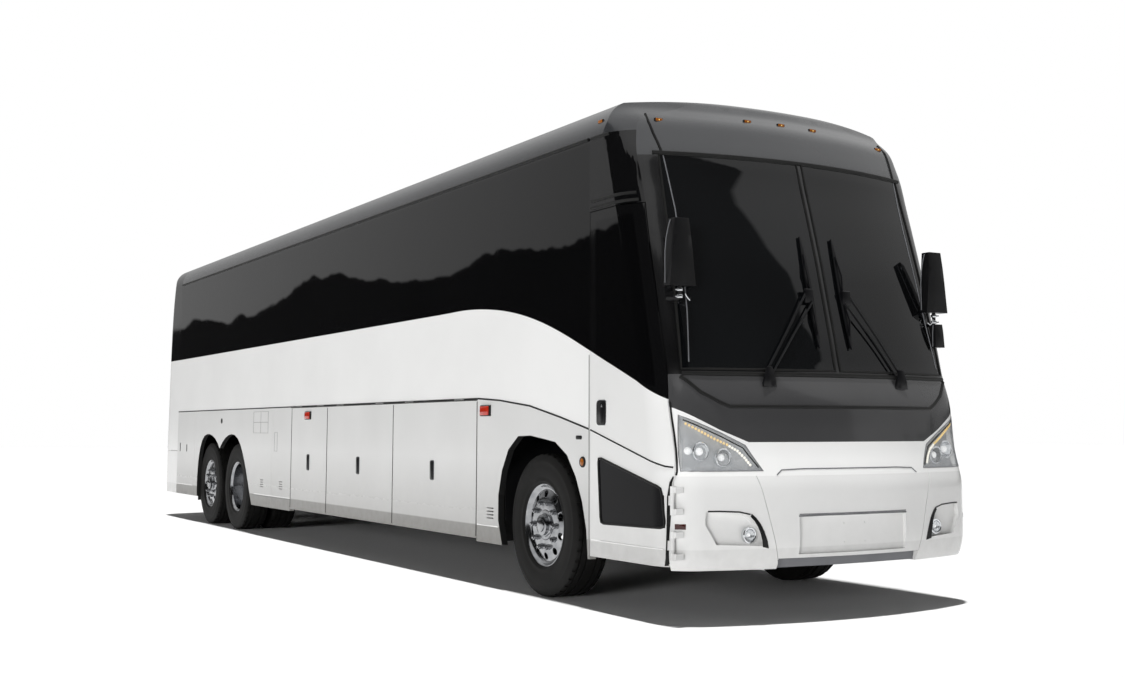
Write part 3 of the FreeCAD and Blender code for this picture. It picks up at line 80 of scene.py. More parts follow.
# %% Helpers for colours and nodes
def linear(hex_value):
    """An sRGB hex colour as the linear RGBA that a shader takes."""
    shades = [int(hex_value[i:i + 2], 16) / 255 for i in (1, 3, 5)]
    return tuple(s / 12.92 if s <= 0.04045 else ((s + 0.055) / 1.055) ** 2.4 for s in shades) + (1.0,)


def fill(tree, node, values):
    """Gives a node its values: a socket is linked in, any other is set on a socket or on the node."""
    for key, value in values.items():
        if isinstance(value, bpy.types.NodeSocket):
            tree.links.new(value, node.inputs[key])
        elif isinstance(key, int) or key in node.inputs:
            node.inputs[key].default_value = value
        else:
            setattr(node, key, value)
    return node


def add_node(tree, kind, values=None):
    """Adds a node with its values."""
    return fill(tree, tree.nodes.new(kind), values or {})


def scaled(tree, value, low, high, to_low=0.0, to_high=1.0):
    """A value taken from one range to another and held inside it."""
    ends = {"From Min": low, "From Max": high, "To Min": to_low, "To Max": to_high}
    return add_node(tree, "ShaderNodeMapRange", {"Value": value, **ends}).outputs["Result"]


def reckon(tree, operation, *terms):
    """The result of an operation on terms that are numbers or sockets."""
    values = {"operation": operation, **dict(enumerate(terms))}
    return add_node(tree, "ShaderNodeMath", values).outputs["Value"]


def mixed(tree, share, first, second, kind="RGBA"):
    """Two colours, or two values, mixed by the share of the second."""
    start, output = (6, 2) if kind == "RGBA" else (2, 0)
    values = {"data_type": kind, 0: share, start: first, start + 1: second}
    return add_node(tree, "ShaderNodeMix", values).outputs[output]


def noise(tree, place, size, detail=3.0):
    """A cloudy pattern whose lumps are about the given size."""
    values = {"Vector": place, "Scale": 1 / size, "Detail": detail, "Roughness": 0.5}
    return add_node(tree, "ShaderNodeTexNoise", values).outputs["Fac"]


def ramp(tree, value, stops):
    """A colour ramp through (position, hex colour) stops."""
    node = add_node(tree, "ShaderNodeValToRGB", {"Fac": value})
    while len(node.color_ramp.elements) < len(stops):
        node.color_ramp.elements.new(0.5)
    for element, (position, hex_value) in zip(node.color_ramp.elements, stops):
        element.position = position
        element.color = linear(hex_value)
    return node.outputs["Color"]


def curve_line(tree, value, line, low, high, foot, reach, sharp_from, added):
    """The height of a line of (place, height) points at a value, with sharp corners past a place."""
    curve = add_node(tree, "ShaderNodeFloatCurve", {"Value": scaled(tree, value, low, high)})
    points = curve.mapping.curves[0].points
    while len(points) < len(line):
        points.new(0.5, 0.5)
    for point, (along, height) in zip(points, line):
        point.location = ((along - low) / (high - low), (height - foot) / reach)
        point.handle_type = "VECTOR" if along > sharp_from else "AUTO"
    curve.mapping.update()
    return reckon(tree, "MULTIPLY_ADD", curve.outputs["Value"], reach, added)


# %% Helpers for finishes
def new_finish(name):
    """An empty material, its node tree, its shader and the piece's own coordinates."""
    material = bpy.data.materials.new(name)
    material.use_nodes = True
    tree = material.node_tree
    tree.nodes.clear()
    shader = add_node(tree, "ShaderNodeBsdfPrincipled")
    add_node(tree, "ShaderNodeOutputMaterial", {"Surface": shader.outputs["BSDF"]})
    place = add_node(tree, "ShaderNodeTexCoord").outputs["Object"]
    return material, tree, shader, place


def bumped(tree, shader, height, strength, depth):
    """Raises the surface by a pattern: depth is in metres."""
    bump = add_node(tree, "ShaderNodeBump", {"Strength": strength, "Distance": depth, "Height": height})
    tree.links.new(bump.outputs["Normal"], shader.inputs["Normal"])


def clouded(name, size, base, shade, values, grain=(), upper=0.8, detail=3.0):
    """A finish that drifts from base to shade in clouds of a size, with values on its shader.

    A grain is its size, detail, strength and depth."""
    material, tree, shader, place = new_finish(name)
    colour = ramp(tree, noise(tree, place, size, detail), [(0.3, base), (upper, shade)])
    fill(tree, shader, {"Base Color": colour, **values})
    if grain:
        bumped(tree, shader, noise(tree, place, *grain[:2]), *grain[2:])
    return material


def dress(finish, *names):
    """Gives a finish to CAD nodes."""
    for name in names:
        nodes[name].data.materials.clear()
        nodes[name].data.materials.append(finish)


# %% [markdown]
# ## Floor, sky and lamps
# The coach stands in a white studio. The floor is a large matt sheet, lit bright enough to meet
# the white background with no line, and for light the sky is a faint white dome. What the gloss
# shows is another matter: hills on a dim horizon and a sky that brightens upwards, which is what
# the dark windows of a parked coach show. A curve node holds the ridge that the panes mirror.
# Straight ahead hangs a tall dark screen, whose edge the leaning windscreen shows as a slant.

# %% Lay the floor
floor_size = 160.0
bpy.ops.mesh.primitive_plane_add(size=floor_size, location=(0, 0, 0))
floor = bpy.context.object
floor.name = "studio_floor"
floor_finish, tree, shader, place = new_finish("matt white studio vinyl")
fill(tree, shader, {"Base Color": linear("#fcfcfc"), "Roughness": 0.9, "Specular IOR Level": 0.1})
floor.data.materials.append(floor_finish)
print("floor", floor_size, "m wide")

# %% Draw the mirrored hills
world = bpy.data.worlds.new("studio_sky")
bpy.context.scene.world = world
world.use_nodes = True
sky = world.node_tree
sky.nodes.clear()
way = add_node(sky, "ShaderNodeTexCoord").outputs["Generated"]
in_x, in_y, in_z = add_node(sky, "ShaderNodeSeparateXYZ", {"Vector": way}).outputs
flat_way = add_node(sky, "ShaderNodeCombineXYZ", {"X": in_x, "Y": in_y}).outputs["Vector"]
ridge = [(-1.0, 0.05), (-0.9695, 0.067), (-0.9666, 0.076), (-0.9611, 0.0746), (-0.959, 0.08),
         (-0.9574, 0.0785), (-0.9531, 0.0846), (-0.9476, 0.0963), (-0.9446, 0.1025), (-0.9414, 0.1077),
         (-0.9387, 0.1065), (-0.9353, 0.1093), (-0.9288, 0.1036), (-0.9246, 0.1065), (-0.9205, 0.1041),
         (-0.9102, 0.108), (-0.9042, 0.111), (-0.8971, 0.1195), (-0.8892, 0.1287), (-0.8731, 0.1298),
         (-0.8635, 0.1329), (-0.8532, 0.1433), (-0.8421, 0.1508), (-0.8, 0.16)]
ridge_start, ridge_end, ridge_top, every_corner = -1.0, -0.8, 0.2, -2.0
far_hills = scaled(sky, noise(sky, flat_way, 1 / 7, 5.0), 0.3, 0.7, 0.045, 0.13)
crags = scaled(sky, noise(sky, flat_way, 1 / 90, 4.0), 0.0, 1.0, -0.006, 0.006)
ridge_line = curve_line(sky, in_x, ridge, ridge_start, ridge_end, 0.0, ridge_top, every_corner, crags)
on_right = scaled(sky, in_y, 0.15, -0.1)
in_panes = reckon(sky, "MULTIPLY", on_right, scaled(sky, in_x, -0.835, -0.84))
corner_hill = reckon(sky, "MULTIPLY", on_right, scaled(sky, in_x, -0.84, -0.6, 0.0, 0.45))
hill_line = reckon(sky, "ADD", mixed(sky, in_panes, far_hills, ridge_line, "FLOAT"), corner_hill)
print("ridge points", len(ridge))

# %% Light the sky
edge_blur = 0.002
over_hills = scaled(sky, reckon(sky, "SUBTRACT", in_z, hill_line), 0.0, edge_blur)
brightening = ramp(sky, in_z, [(0.0, "#a0a0a0"), (0.35, "#b4b4b4"), (0.7, "#f0f0f0"), (1.0, "#ffffff")])
open_sky = mixed(sky, over_hills, linear("#242424"), brightening)
mirrored_sky = mixed(sky, scaled(sky, in_x, 0.715, 0.725, 0.0, 0.86), open_sky, linear("#0c0c0c"))
rays = add_node(sky, "ShaderNodeLightPath").outputs
white = linear("#ffffff")
dome, mirror_dome, backdrop = [
    add_node(sky, "ShaderNodeBackground", {"Color": colour, "Strength": strength}).outputs[0]
    for colour, strength in ((white, 0.035), (mirrored_sky, 1.0), (white, 1.0))]
in_gloss = add_node(sky, "ShaderNodeMixShader", {0: rays["Is Glossy Ray"], 1: dome,
                                                 2: mirror_dome}).outputs[0]
straight = reckon(sky, "MAXIMUM", rays["Is Camera Ray"], rays["Is Transmission Ray"])
in_sight = add_node(sky, "ShaderNodeMixShader", {0: straight, 1: in_gloss, 2: backdrop}).outputs[0]
add_node(sky, "ShaderNodeOutputWorld", {"Surface": in_sight})
print("sky lit")

# %% Hang the lamps
def hang(name, tilt, heading, energy, spread):
    """A far lamp: tilt is from straight down, heading turns it, spread softens its shadows, in degrees."""
    bpy.ops.object.light_add(type="SUN", location=(0, 0, 12), rotation=(math.radians(tilt), 0,
                                                                        math.radians(heading)))
    lamp = bpy.context.object
    lamp.name = name
    lamp.data.energy = energy
    lamp.data.angle = math.radians(spread)
    lamp.visible_glossy = False


hang("overhead_bank", 1, 0, 3.2, 2.5)
hang("low_side_fill", 87, 32, 2.4, 24)
print("lamps hung")

# %% [markdown]
# ## Painted panels
# The body is glass-fibre and aluminium under two-pack polyurethane: a coloured coat below a hard
# clear one. The clear coat gives a sharp reflection, while its faint waviness, from the spray gun
# and the panel below, makes long reflections wander. Real orange peel is 1 or 2 mm across, too
# fine to see here, so it is drawn about 60 mm coarse. Over the lowest metre the paint is darkened
# in patches, most of all below the sill crease: this is painted shade, where the panels turn under.

# %% Mix the body paints
shade_top, shade_foot, sill_crease = 1.0, 0.36, 0.478


def coach_paint(name, base, shade, coat=0.5, gleam=0.5, foot_shade=0.0):
    """Gloss body paint: base with clouds of a shade, under a clear coat, and painted shade in patches at its
    foot.
    """
    material, tree, shader, place = new_finish(name)
    colour = ramp(tree, noise(tree, place, 0.9), [(0.35, base), (0.75, shade)])
    height = add_node(tree, "ShaderNodeSeparateXYZ", {"Vector": place}).outputs["Z"]
    # Painted shade where the panels turn under: the dust mask below darkens the colour in patches towards the
    # foot and below the sill crease.
    low = scaled(tree, height, shade_top, shade_foot, 0.0, 0.6)
    sill = scaled(tree, height, sill_crease, sill_crease - 0.01, 0.0, 0.5)
    shade_patches = scaled(tree, noise(tree, place, 0.08), 0.0, 1.0, 0.05 + 0.8 * foot_shade, 0.25 + 0.75 * foot_shade)
    dust = reckon(tree, "MULTIPLY", reckon(tree, "ADD", low, sill), shade_patches)
    fill(tree, shader, {"Base Color": mixed(tree, dust, colour, linear("#6f6d69")),
                        "Roughness": scaled(tree, dust, 0.0, 1.0, 0.22, 0.4),
                        "Specular IOR Level": gleam, "Coat Weight": coat, "Coat Roughness": 0.06})
    bumped(tree, shader, noise(tree, place, 0.06, 1.0), 0.05, 0.002)
    return material


def opened(material):
    """The tree, the shader and the piece's own X and Z of a body paint."""
    tree = material.node_tree
    axes = next(node for node in tree.nodes if node.type == "SEPXYZ").outputs
    return tree, tree.nodes["Principled BSDF"], axes["X"], axes["Z"]


def recoloured(tree, shader, share, hex_value):
    """Turns a body paint to another colour by a share."""
    below = shader.inputs["Base Color"].links[0].from_socket
    fill(tree, shader, {"Base Color": mixed(tree, share, below, linear(hex_value))})


upper_white = coach_paint("two-pack white enamel", "#f0f0ef", "#ebebea", 0.06, 0.12)
# The doors and skirts take a darker copy of the wall's white, which is painted shade.
shaded_lower_white = coach_paint("two-pack white enamel on the doors", "#dadad9", "#d4d4d3", 0.06, 0.12, 0.8)
bumper_white = coach_paint("white enamel on flexible polyurethane", "#e8e8e7", "#e2e2e1", 0.2, 0.25, 0.1)
roof_grey = coach_paint("two-pack graphite enamel", "#333436", "#2d2e30")
cowl_grey = coach_paint("satin graphite enamel", "#414142", "#3a3a3b")
flaps = ["luggage_door_%s_%d" % (side, number) for side in sides for number in (1, 2, 3)]
dress(upper_white, "front_panel", "engine_door")
dress(bumper_white, "front_bumper", "rear_bumper")
dress(shaded_lower_white, "skirt_right", "skirt_left", *flaps)
dress(roof_grey, "roof_shell")
dress(cowl_grey, "cowl_panel")
print("paints mixed")

# %% [markdown]
# ## Where the paint turns black
# The window band is one black sweep: panes, the posts between them and the frame of the door are
# all the same gloss black. Its lower edge, the belt line, runs level along the coach and then
# dives towards the nose. A curve node holds that line as height against length, and whatever part
# of a wall lies above it takes the black. The moulded cap is black below the head of the
# windscreen in the same way, with a level line.

# %% Mask the window band
belt_start, belt_end = 3.0, 7.0
belt_floor, belt_reach = 1.2, 1.2
straight_from = 5.5
belt_line = [(3.0, 2.2), (3.09, 2.2), (3.881, 2.19), (4.588, 2.099), (5.2215, 1.927), (5.6555, 1.768),
             (6.25, 1.545), (6.53, 1.42), (7.0, 1.21)]


def masked_paint(name, base, shade, foot_shade=0.0):
    """Body paint that turns to gloss black above the belt line."""
    material = coach_paint(name, base, shade, 0.06, 0.12, foot_shade)
    tree, shader, along, height = opened(material)
    edge = curve_line(tree, along, belt_line, belt_start, belt_end, belt_floor, belt_reach, straight_from,
                      belt_floor)
    over = scaled(tree, reckon(tree, "SUBTRACT", height, edge), 0.0, edge_blur)
    recoloured(tree, shader, over, "#0a0a0b")
    gloss = shader.inputs["Roughness"].links[0].from_socket
    fill(tree, shader, {"Roughness": mixed(tree, over, gloss, 0.04, "FLOAT"),
                        "Specular IOR Level": scaled(tree, over, 0.0, 1.0, 0.25, 0.55)})
    return material


band_paint = masked_paint("white enamel with a gloss black window band", "#f0f0ef", "#ebebea")
door_paint = masked_paint("white door enamel with a gloss black window frame", "#e6e6e5", "#e0e0df", 0.25)
dress(band_paint, "side_wall_right", "side_wall_left", "rear_shell")
dress(door_paint, "entrance_door")
print("window band masked")

# %% Mask the pillars of the cap
cap_paint = coach_paint("graphite enamel with black pillars", "#3a3b3d", "#343537")
tree, shader, along, height = opened(cap_paint)
pillar_top = 3.085
recoloured(tree, shader, scaled(tree, height, pillar_top, pillar_top - edge_blur), "#0b0b0c")
dress(cap_paint, "front_cap")
print("pillars masked")

# %% [markdown]
# ## Glass
# The side windows are privacy glass: soda-lime panes with a black tint that lets a tenth of the
# light in. The windscreen is laminated and clearer. Both are flat, hard and very smooth, so they
# take almost all their look from what they mirror.

# %% Tint the glass
def tinted_glass(name, tint, passing, gleam=0.5):
    """A smooth pane: passing is the share of light that it lets through."""
    values = {"Roughness": 0.015, "IOR": 1.5, "Transmission Weight": passing, "Specular IOR Level": gleam}
    return clouded(name, 1.4, tint, "#040405", values, detail=1.0)


privacy_glass = tinted_glass("privacy soda-lime glass", "#070708", 0.1)
screen_glass = tinted_glass("laminated windscreen glass", "#16181a", 0.3)
dress(privacy_glass, "side_glass_right", "side_glass_left", "rear_glass", "door_glass")
dress(screen_glass, "windscreen")
print("glass tinted")

# %% [markdown]
# ## Rubber, plastic and chassis metal
# Most of what is black on a coach is one of four things. EPDM gaskets and bellows are dull.
# Grained ABS has a fine leather-like grain. The axles and rails carry a thick semi-gloss chassis
# paint over cast or rolled steel. Tyres are a matt brown-black that greys with road dust.

# %% Mix the dark finishes
def dark_finish(name, base, shade, rough, grain, depth, metal=0.0, gleam=0.3):
    """A dark surface with an even grain: grain and depth are in metres."""
    values = {"Roughness": rough, "Metallic": metal, "Specular IOR Level": gleam}
    return clouded(name, 0.15, base, shade, values, (grain, 2.0, 0.4, depth), 0.75)


gasket_rubber = dark_finish("moulded EPDM rubber", "#111111", "#191918", 0.6, 0.004, 0.0004)
grained_abs = dark_finish("grained ABS", "#0d0d0e", "#141415", 0.35, 0.003, 0.0003)
chassis_paint = dark_finish("chassis paint on rolled steel", "#161617", "#211f1d", 0.45, 0.012, 0.0008)
cast_iron = dark_finish("cast iron, oily", "#2b2a29", "#3a3836", 0.6, 0.006, 0.001, 0.6)
tyre_rubber = dark_finish("tyre rubber with road dust", "#0a0a09", "#131211", 0.75, 0.01, 0.0006)
floor_vinyl = dark_finish("ribbed vinyl floor", "#2a2b2d", "#333436", 0.6, 0.01, 0.0005)
rack_abs = dark_finish("pale grained ABS", "#6f7073", "#66676a", 0.5, 0.004, 0.0003)
seat_cloth = dark_finish("woven moquette", "#23262e", "#2f333d", 0.9, 0.003, 0.001)
dress(gasket_rubber, "air_springs")
dress(grained_abs, "mirrors", "wipers", "wheel_housings", "dashboard", "steering_wheel")
dress(chassis_paint, "bay_structure", "chassis_frame", "front_axle", "rear_axles", "knuckle_right",
      "knuckle_left")
dress(cast_iron, "engine_block")
dress(floor_vinyl, "floor_deck")
dress(rack_abs, "parcel_racks")
dress(seat_cloth, "passenger_seats", "driver_seat")
dress(tyre_rubber, *["tyre_%s_%s" % (axle, side) for axle in axles for side in sides])
print("dark finishes mixed")

# %% [markdown]
# ## Polished alloy and lamp plastics
# The wheels are forged aluminium, turned on a lathe and then buffed. Road haze dulls the buffed
# metal in small smudges, so one cloudy pattern drives both its colour and its roughness.

# %% Polish the wheels
polished_alloy, tree, shader, place = new_finish("polished forged aluminium")
smudge = noise(tree, place, 0.05)
fill(tree, shader, {"Base Color": ramp(tree, smudge, [(0.3, "#a6a7a9"), (0.8, "#85878a")]), "Metallic": 1.0,
                    "Roughness": scaled(tree, smudge, 0.0, 1.0, 0.08, 0.24)})
bumped(tree, shader, noise(tree, place, 0.008), 0.1, 0.0005)
dress(polished_alloy, *["wheel_%s_%s" % (axle, side) for axle in axles for side in sides])
print("wheels polished")

# %% Mould the lamp plastics
def lens_plastic(name, base, shade, passing):
    """Clear or coloured polycarbonate, moulded with fine flutes 24 mm apart."""
    material, tree, shader, place = new_finish(name)
    fill(tree, shader, {"Base Color": ramp(tree, noise(tree, place, 0.03), [(0.3, base), (0.8, shade)]),
                        "Roughness": 0.08, "IOR": 1.58, "Transmission Weight": passing})
    flutes = add_node(tree, "ShaderNodeTexWave", {"Scale": 13.0, "bands_direction": "Z", "Vector": place})
    bumped(tree, shader, flutes.outputs["Fac"], 0.2, 0.001)
    return material


clear_lens = lens_plastic("clear polycarbonate", "#f2f4f5", "#e6e9eb", 0.9)
red_lens = lens_plastic("red polycarbonate", "#a8160f", "#8a0f0b", 0.2)
dress(clear_lens, "headlamps")
dress(red_lens, "tail_lamps")
print("lamp plastics ready")

# %% [markdown]
# ## Modelling by hand
# Each new piece is drawn as a modeller would: one vertex is pulled along a section, the section is
# spun or swept, and modifiers give it thickness and soft edges. A few helpers keep that short.
# The skin of the coach is curved both ways, so anything that sits on it is dropped onto the CAD
# mesh along a ray, which finds the true surface with no sums.

# %% Helpers for drawing
def pick(piece):
    """Makes a piece the active one and the only one selected."""
    bpy.ops.object.select_all(action="DESELECT")
    bpy.context.view_layer.objects.active = piece
    piece.select_set(True)


def enter(selection="SELECT"):
    """Opens the active piece for editing, with all of it selected or none."""
    bpy.ops.object.mode_set(mode="EDIT")
    bpy.ops.mesh.select_all(action=selection)


def leave():
    """Closes the piece that is open for editing."""
    bpy.ops.object.mode_set(mode="OBJECT")


def clear(pieces):
    """Deletes pieces that were only there to be copied."""
    for piece in pieces:
        bpy.data.objects.remove(piece)


def draw_chain(points, closed=False):
    """A chain of edges: a plane is merged to one vertex, which is pulled from point to point."""
    bpy.ops.object.select_all(action="DESELECT")
    bpy.ops.mesh.primitive_plane_add(size=1)
    bpy.ops.object.mode_set(mode="EDIT")
    bpy.ops.mesh.merge(type="CENTER")
    bpy.ops.transform.translate(value=points[0])
    for start, end in zip(points, points[1:]):
        bpy.ops.mesh.extrude_region_move(TRANSFORM_OT_translate={"value": Vector(end) - Vector(start)})
    bpy.ops.mesh.select_all(action="SELECT")
    if closed:
        bpy.ops.mesh.edge_face_add()
        bpy.ops.mesh.delete(type="ONLY_FACE")
    leave()
    return bpy.context.object


def placed(piece, offset):
    """The piece shifted to its place, in its own mesh."""
    piece.data.transform(Matrix.Translation(offset))
    return piece


weld_distance = 0.0001


def spin_section(section, steps, axis=(0, 1, 0), place=(0, 0, 0)):
    """Turns a section of (radius, distance along the axis) points round an axis through a place."""
    piece = draw_chain([(radius, along, 0) for radius, along in section])
    enter()
    bpy.ops.mesh.spin(steps=steps, angle=2 * math.pi, center=(0, 0, 0), axis=(0, 1, 0))
    bpy.ops.mesh.select_all(action="SELECT")
    bpy.ops.mesh.remove_doubles(threshold=weld_distance)
    bpy.ops.mesh.normals_make_consistent(inside=False)
    leave()
    piece.data.transform(Vector((0, 1, 0)).rotation_difference(Vector(axis)).to_matrix().to_4x4())
    return placed(piece, place)


def sweep(points, radius, closed=False, sides=4):
    """A round bead along a chain of points."""
    piece = draw_chain(points, closed)
    bpy.ops.object.convert(target="CURVE")
    piece = bpy.context.object
    piece.data.bevel_depth = radius
    piece.data.bevel_resolution = sides
    piece.data.use_fill_caps = not closed
    bpy.ops.object.convert(target="MESH")
    return bpy.context.object


def join(pieces):
    """Several pieces as one mesh."""
    bpy.ops.object.select_all(action="DESELECT")
    for piece in pieces:
        piece.select_set(True)
    bpy.context.view_layer.objects.active = pieces[0]
    bpy.ops.object.join()
    return bpy.context.object


def copied(piece):
    """A copy with its own mesh."""
    copy = piece.copy()
    copy.data = piece.data.copy()
    bpy.context.scene.collection.objects.link(copy)
    return copy


def moved(piece, offset=(0, 0, 0), mirror=False):
    """A copy, mirrored to the other side first if asked, then shifted."""
    copy = copied(piece)
    if mirror:
        copy.data.transform(Matrix.Scale(-1, 4, (0, 1, 0)))
        copy.data.flip_normals()
    return placed(copy, offset)


def both_sides(pieces):
    """The pieces of the right-hand side and their copies on the left."""
    return pieces + [moved(piece, mirror=True) for piece in pieces]


def mark_faces(piece, wanted):
    """Opens a piece for editing with only the wanted faces selected, and counts them."""
    enter("DESELECT")
    leave()
    for face in piece.data.polygons:
        face.select = wanted(face)
    count = sum(face.select for face in piece.data.polygons)
    bpy.ops.object.mode_set(mode="EDIT")
    return count


# %% Helpers for modifiers and for settling
def reshaped(piece, kind, **settings):
    """Gives a piece a modifier with its settings and applies it."""
    pick(piece)
    modifier = piece.modifiers.new(kind.lower(), kind)
    for key, value in settings.items():
        setattr(modifier, key, value)
    bpy.ops.object.modifier_apply(modifier=modifier.name)
    return piece


def soften(piece, width, segments=2, angle=0.6):
    """Rounds the edges that are sharper than an angle."""
    return reshaped(piece, "BEVEL", width=width, segments=segments, limit_method="ANGLE", angle_limit=angle)


def thickened(piece, thickness, offset=-1.0):
    """Gives a sheet a wall."""
    return reshaped(piece, "SOLIDIFY", thickness=thickness, offset=offset)


smooth_angle = 0.6


def settle(piece, name, body, finish, replaced=()):
    """Names a finished piece, fixes its place in its mesh, shades it and lets it ride on its body."""
    pick(piece)
    bpy.ops.object.transform_apply(location=True, rotation=True, scale=True)
    bpy.ops.object.shade_smooth_by_angle(angle=smooth_angle)
    piece.name = name
    piece.data.materials.clear()
    piece.data.materials.append(finish)
    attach(piece, body)
    if replaced:
        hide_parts(*replaced)
    piece.select_set(False)
    return piece


def settle_both(pieces, name, finish, replaced=()):
    """Settles right-hand pieces and their mirror copies on the coach, as one piece."""
    settle(join(both_sides(pieces)), name, "coach", finish, replaced)


def settle_sides(pieces, name, body, finish, replaced=()):
    """Settles copies of right-hand pieces on a body of each side. A star in a name stands for the side."""
    for side in sides:
        copies = [moved(piece, mirror=side == "left") for piece in pieces]
        settle(join(copies), name.replace("*", side), body.replace("*", side), finish,
               [node.replace("*", side) for node in replaced])
    clear(pieces)


skins = {}


def first_hit(origin, heading, name):
    """The distance and the point where a ray first meets one CAD node, or None."""
    if name not in skins:
        mesh = nodes[name].data
        skins[name] = BVHTree.FromPolygons([v.co for v in mesh.vertices],
                                           [f.vertices[:] for f in mesh.polygons])
    point, normal, index, distance = skins[name].ray_cast(Vector(origin), Vector(heading))
    return (distance, tuple(point)) if point else None


def on_skin(origin, heading, names, stand=0.0):
    """Where a ray from a point first meets the given CAD nodes, stood off by a little."""
    hits = [hit for hit in (first_hit(origin, heading, name) for name in names) if hit]
    if not hits:
        raise ValueError("no skin at %s" % (origin,))
    return Vector(min(hits)[1]) - Vector(heading) * stand


print("helpers ready")

# %% [markdown]
# ## Tyres
# A coach tyre is 1.05 m across and 300 mm wide. Its section has a bead that grips the rim, a thin
# bulging side wall, a square shoulder and a tread with four straight grooves. The section is drawn
# once, spun in 120 steps, and notches are pressed into the shoulders. No lettering is moulded on it.

# %% Draw the tyre
half_side = [(0.2865, 0.1035), (0.3035, 0.1157), (0.3035, 0.127), (0.312, 0.137), (0.322, 0.1425),
             (0.329, 0.1425), (0.334, 0.1405), (0.36, 0.1462), (0.40, 0.1498), (0.43, 0.1495),
             (0.458, 0.1462), (0.463, 0.1472), (0.470, 0.1465), (0.486, 0.1405), (0.502, 0.1345),
             (0.515, 0.128), (0.5205, 0.120), (0.523, 0.100), (0.5105, 0.0985), (0.5105, 0.0905),
             (0.5237, 0.089), (0.5247, 0.049), (0.5105, 0.0475), (0.5105, 0.0385), (0.5248, 0.037)]
groove_floor = 0.511
tyre_steps = 120
tyre = spin_section(half_side + [(r, -y) for r, y in half_side[::-1]] + half_side[:1], tyre_steps)


def in_notch(face):
    """Is this face in every third step of a shoulder of the tread?"""
    reach = math.hypot(face.center.x, face.center.z)
    turn = math.atan2(face.center.z, face.center.x) * tyre_steps / (2 * math.pi)
    return reach > groove_floor and 0.1 < abs(face.center.y) < 0.13 and int(turn // 1) % 3 == 0


notches = mark_faces(tyre, in_notch)
bpy.ops.mesh.extrude_region_shrink_fatten(TRANSFORM_OT_shrink_fatten={"value": -0.008})
leave()
print("tyre faces", len(tyre.data.polygons), "notched faces", notches)

# %% Fit the tyres
front_x, drive_x, tag_x = 4.87, -3.13, -4.35
wheel_y, twin_gap, hub_z = -1.10, 0.345, 0.525
for axle, x, offsets in (("front", front_x, (0,)), ("drive", drive_x, (0, twin_gap)), ("tag", tag_x, (0,))):
    settle_sides([moved(tyre, (x, wheel_y + offset, hub_z)) for offset in offsets],
                 "treaded_tyre_%s_*" % axle,
                 "wheel_%s_*" % axle, tyre_rubber, ["tyre_%s_*" % axle])
clear([tyre])

# %% [markdown]
# ## Wheels
# The wheels are one-piece forgings: a rim with rolled lips and a disc that is domed outwards on the
# steered and the trailing axle. The driven twins use the same disc turned round, so it sits deep
# inside. Ten hand holes lighten each disc. They are cut from the spun disc with a boolean, and the
# edges are then rounded, since it is the rounded edge that catches the light.

# %% Draw the discs
wheel_steps = 80
rim_back = [(0.268, 0.03), (0.270, -0.10), (0.283, -0.113), (0.290, -0.126), (0.297, -0.1285),
            (0.303, -0.127), (0.303, -0.117), (0.286, -0.104), (0.286, 0.104), (0.303, 0.117), (0.303, 0.127),
            (0.2985, 0.1285), (0.292, 0.126), (0.284, 0.115), (0.275, 0.104)]
domed_disc = rim_back + [(0.262, 0.1), (0.248, 0.106), (0.205, 0.117), (0.192, 0.119), (0.112, 0.119),
                         (0.108, 0.116), (0.108, 0.094), (0.190, 0.094), (0.240, 0.084), (0.262, 0.066),
                         (0.268, 0.03)]
deep_disc = rim_back[1:] + [(0.273, -0.02), (0.262, -0.045), (0.240, -0.056), (0.205, -0.060),
                            (0.192, -0.061), (0.112, -0.061), (0.108, -0.064), (0.108, -0.084),
                            (0.190, -0.086), (0.240, -0.086), (0.268, -0.07), (0.270, -0.10)]
hand_hole_ring, hand_hole_radius, hole_count = 0.227, 0.0265, 10


def pegs(ring, count, start, pins):
    """Round pins on a ring across the axle: a pin is its corners, radius, length and place along Y."""
    made = []
    for i in range(count):
        turn = 2 * math.pi * (i + start) / count
        for corners, radius, length, along in pins:
            spot = (ring * math.cos(turn), along, ring * math.sin(turn))
            bpy.ops.mesh.primitive_cylinder_add(vertices=corners, radius=radius, depth=length, location=spot,
                                                rotation=(quarter_turn, 0, 0))
            made.append(bpy.context.object)
    return join(made)


def cut_disc(section):
    """Spins a disc section, outward side towards -Y, and cuts its hand holes."""
    disc = spin_section([(r, -d) for r, d in section], wheel_steps)
    cutter = pegs(hand_hole_ring, hole_count, 0.5, [(24, hand_hole_radius, 0.6, 0)])
    reshaped(disc, "BOOLEAN", operation="DIFFERENCE", solver="EXACT", object=cutter)
    clear([cutter])
    return soften(disc, 0.0015, 2, 0.7)


front_disc = cut_disc(domed_disc)
twin_disc = cut_disc(deep_disc)
print("disc faces", len(front_disc.data.polygons), len(twin_disc.data.polygons))

# %% Draw a nut and the hubs
bolt_ring, nut_count = 0.1675, 10
nut_bevel = 0.0012


def nut_ring(face):
    """Ten wheel nuts with their washers and stud ends, standing outwards from a disc face."""
    pins = [(corners, radius, length, -face - length / 2)
            for corners, radius, length in ((24, 0.0225, 0.006), (6, 0.0195, 0.028), (12, 0.0105, 0.038))]
    ring = pegs(bolt_ring, nut_count, 0, pins)
    bpy.ops.object.transform_apply(location=True, rotation=True, scale=True)
    return soften(ring, nut_bevel, 2)


front_hub = [(0, -0.168), (0.045, -0.168), (0.05, -0.165), (0.052, -0.158), (0.070, -0.156), (0.0755, -0.152),
             (0.077, -0.130), (0.084, -0.128), (0.087, -0.122), (0.107, -0.121), (0.107, -0.02), (0.0, -0.02)]
drive_hub = [(0, 0.005), (0.05, 0.005), (0.056, 0.008), (0.06, 0.02), (0.083, 0.022), (0.087, 0.026),
             (0.088, 0.05), (0.107, 0.052), (0.107, 0.2), (0.0, 0.2)]
front_cap_piece = spin_section(front_hub, 48)
drive_cap_piece = spin_section(drive_hub, 48)
front_nuts = nut_ring(0.119)
twin_nuts = nut_ring(-0.061)

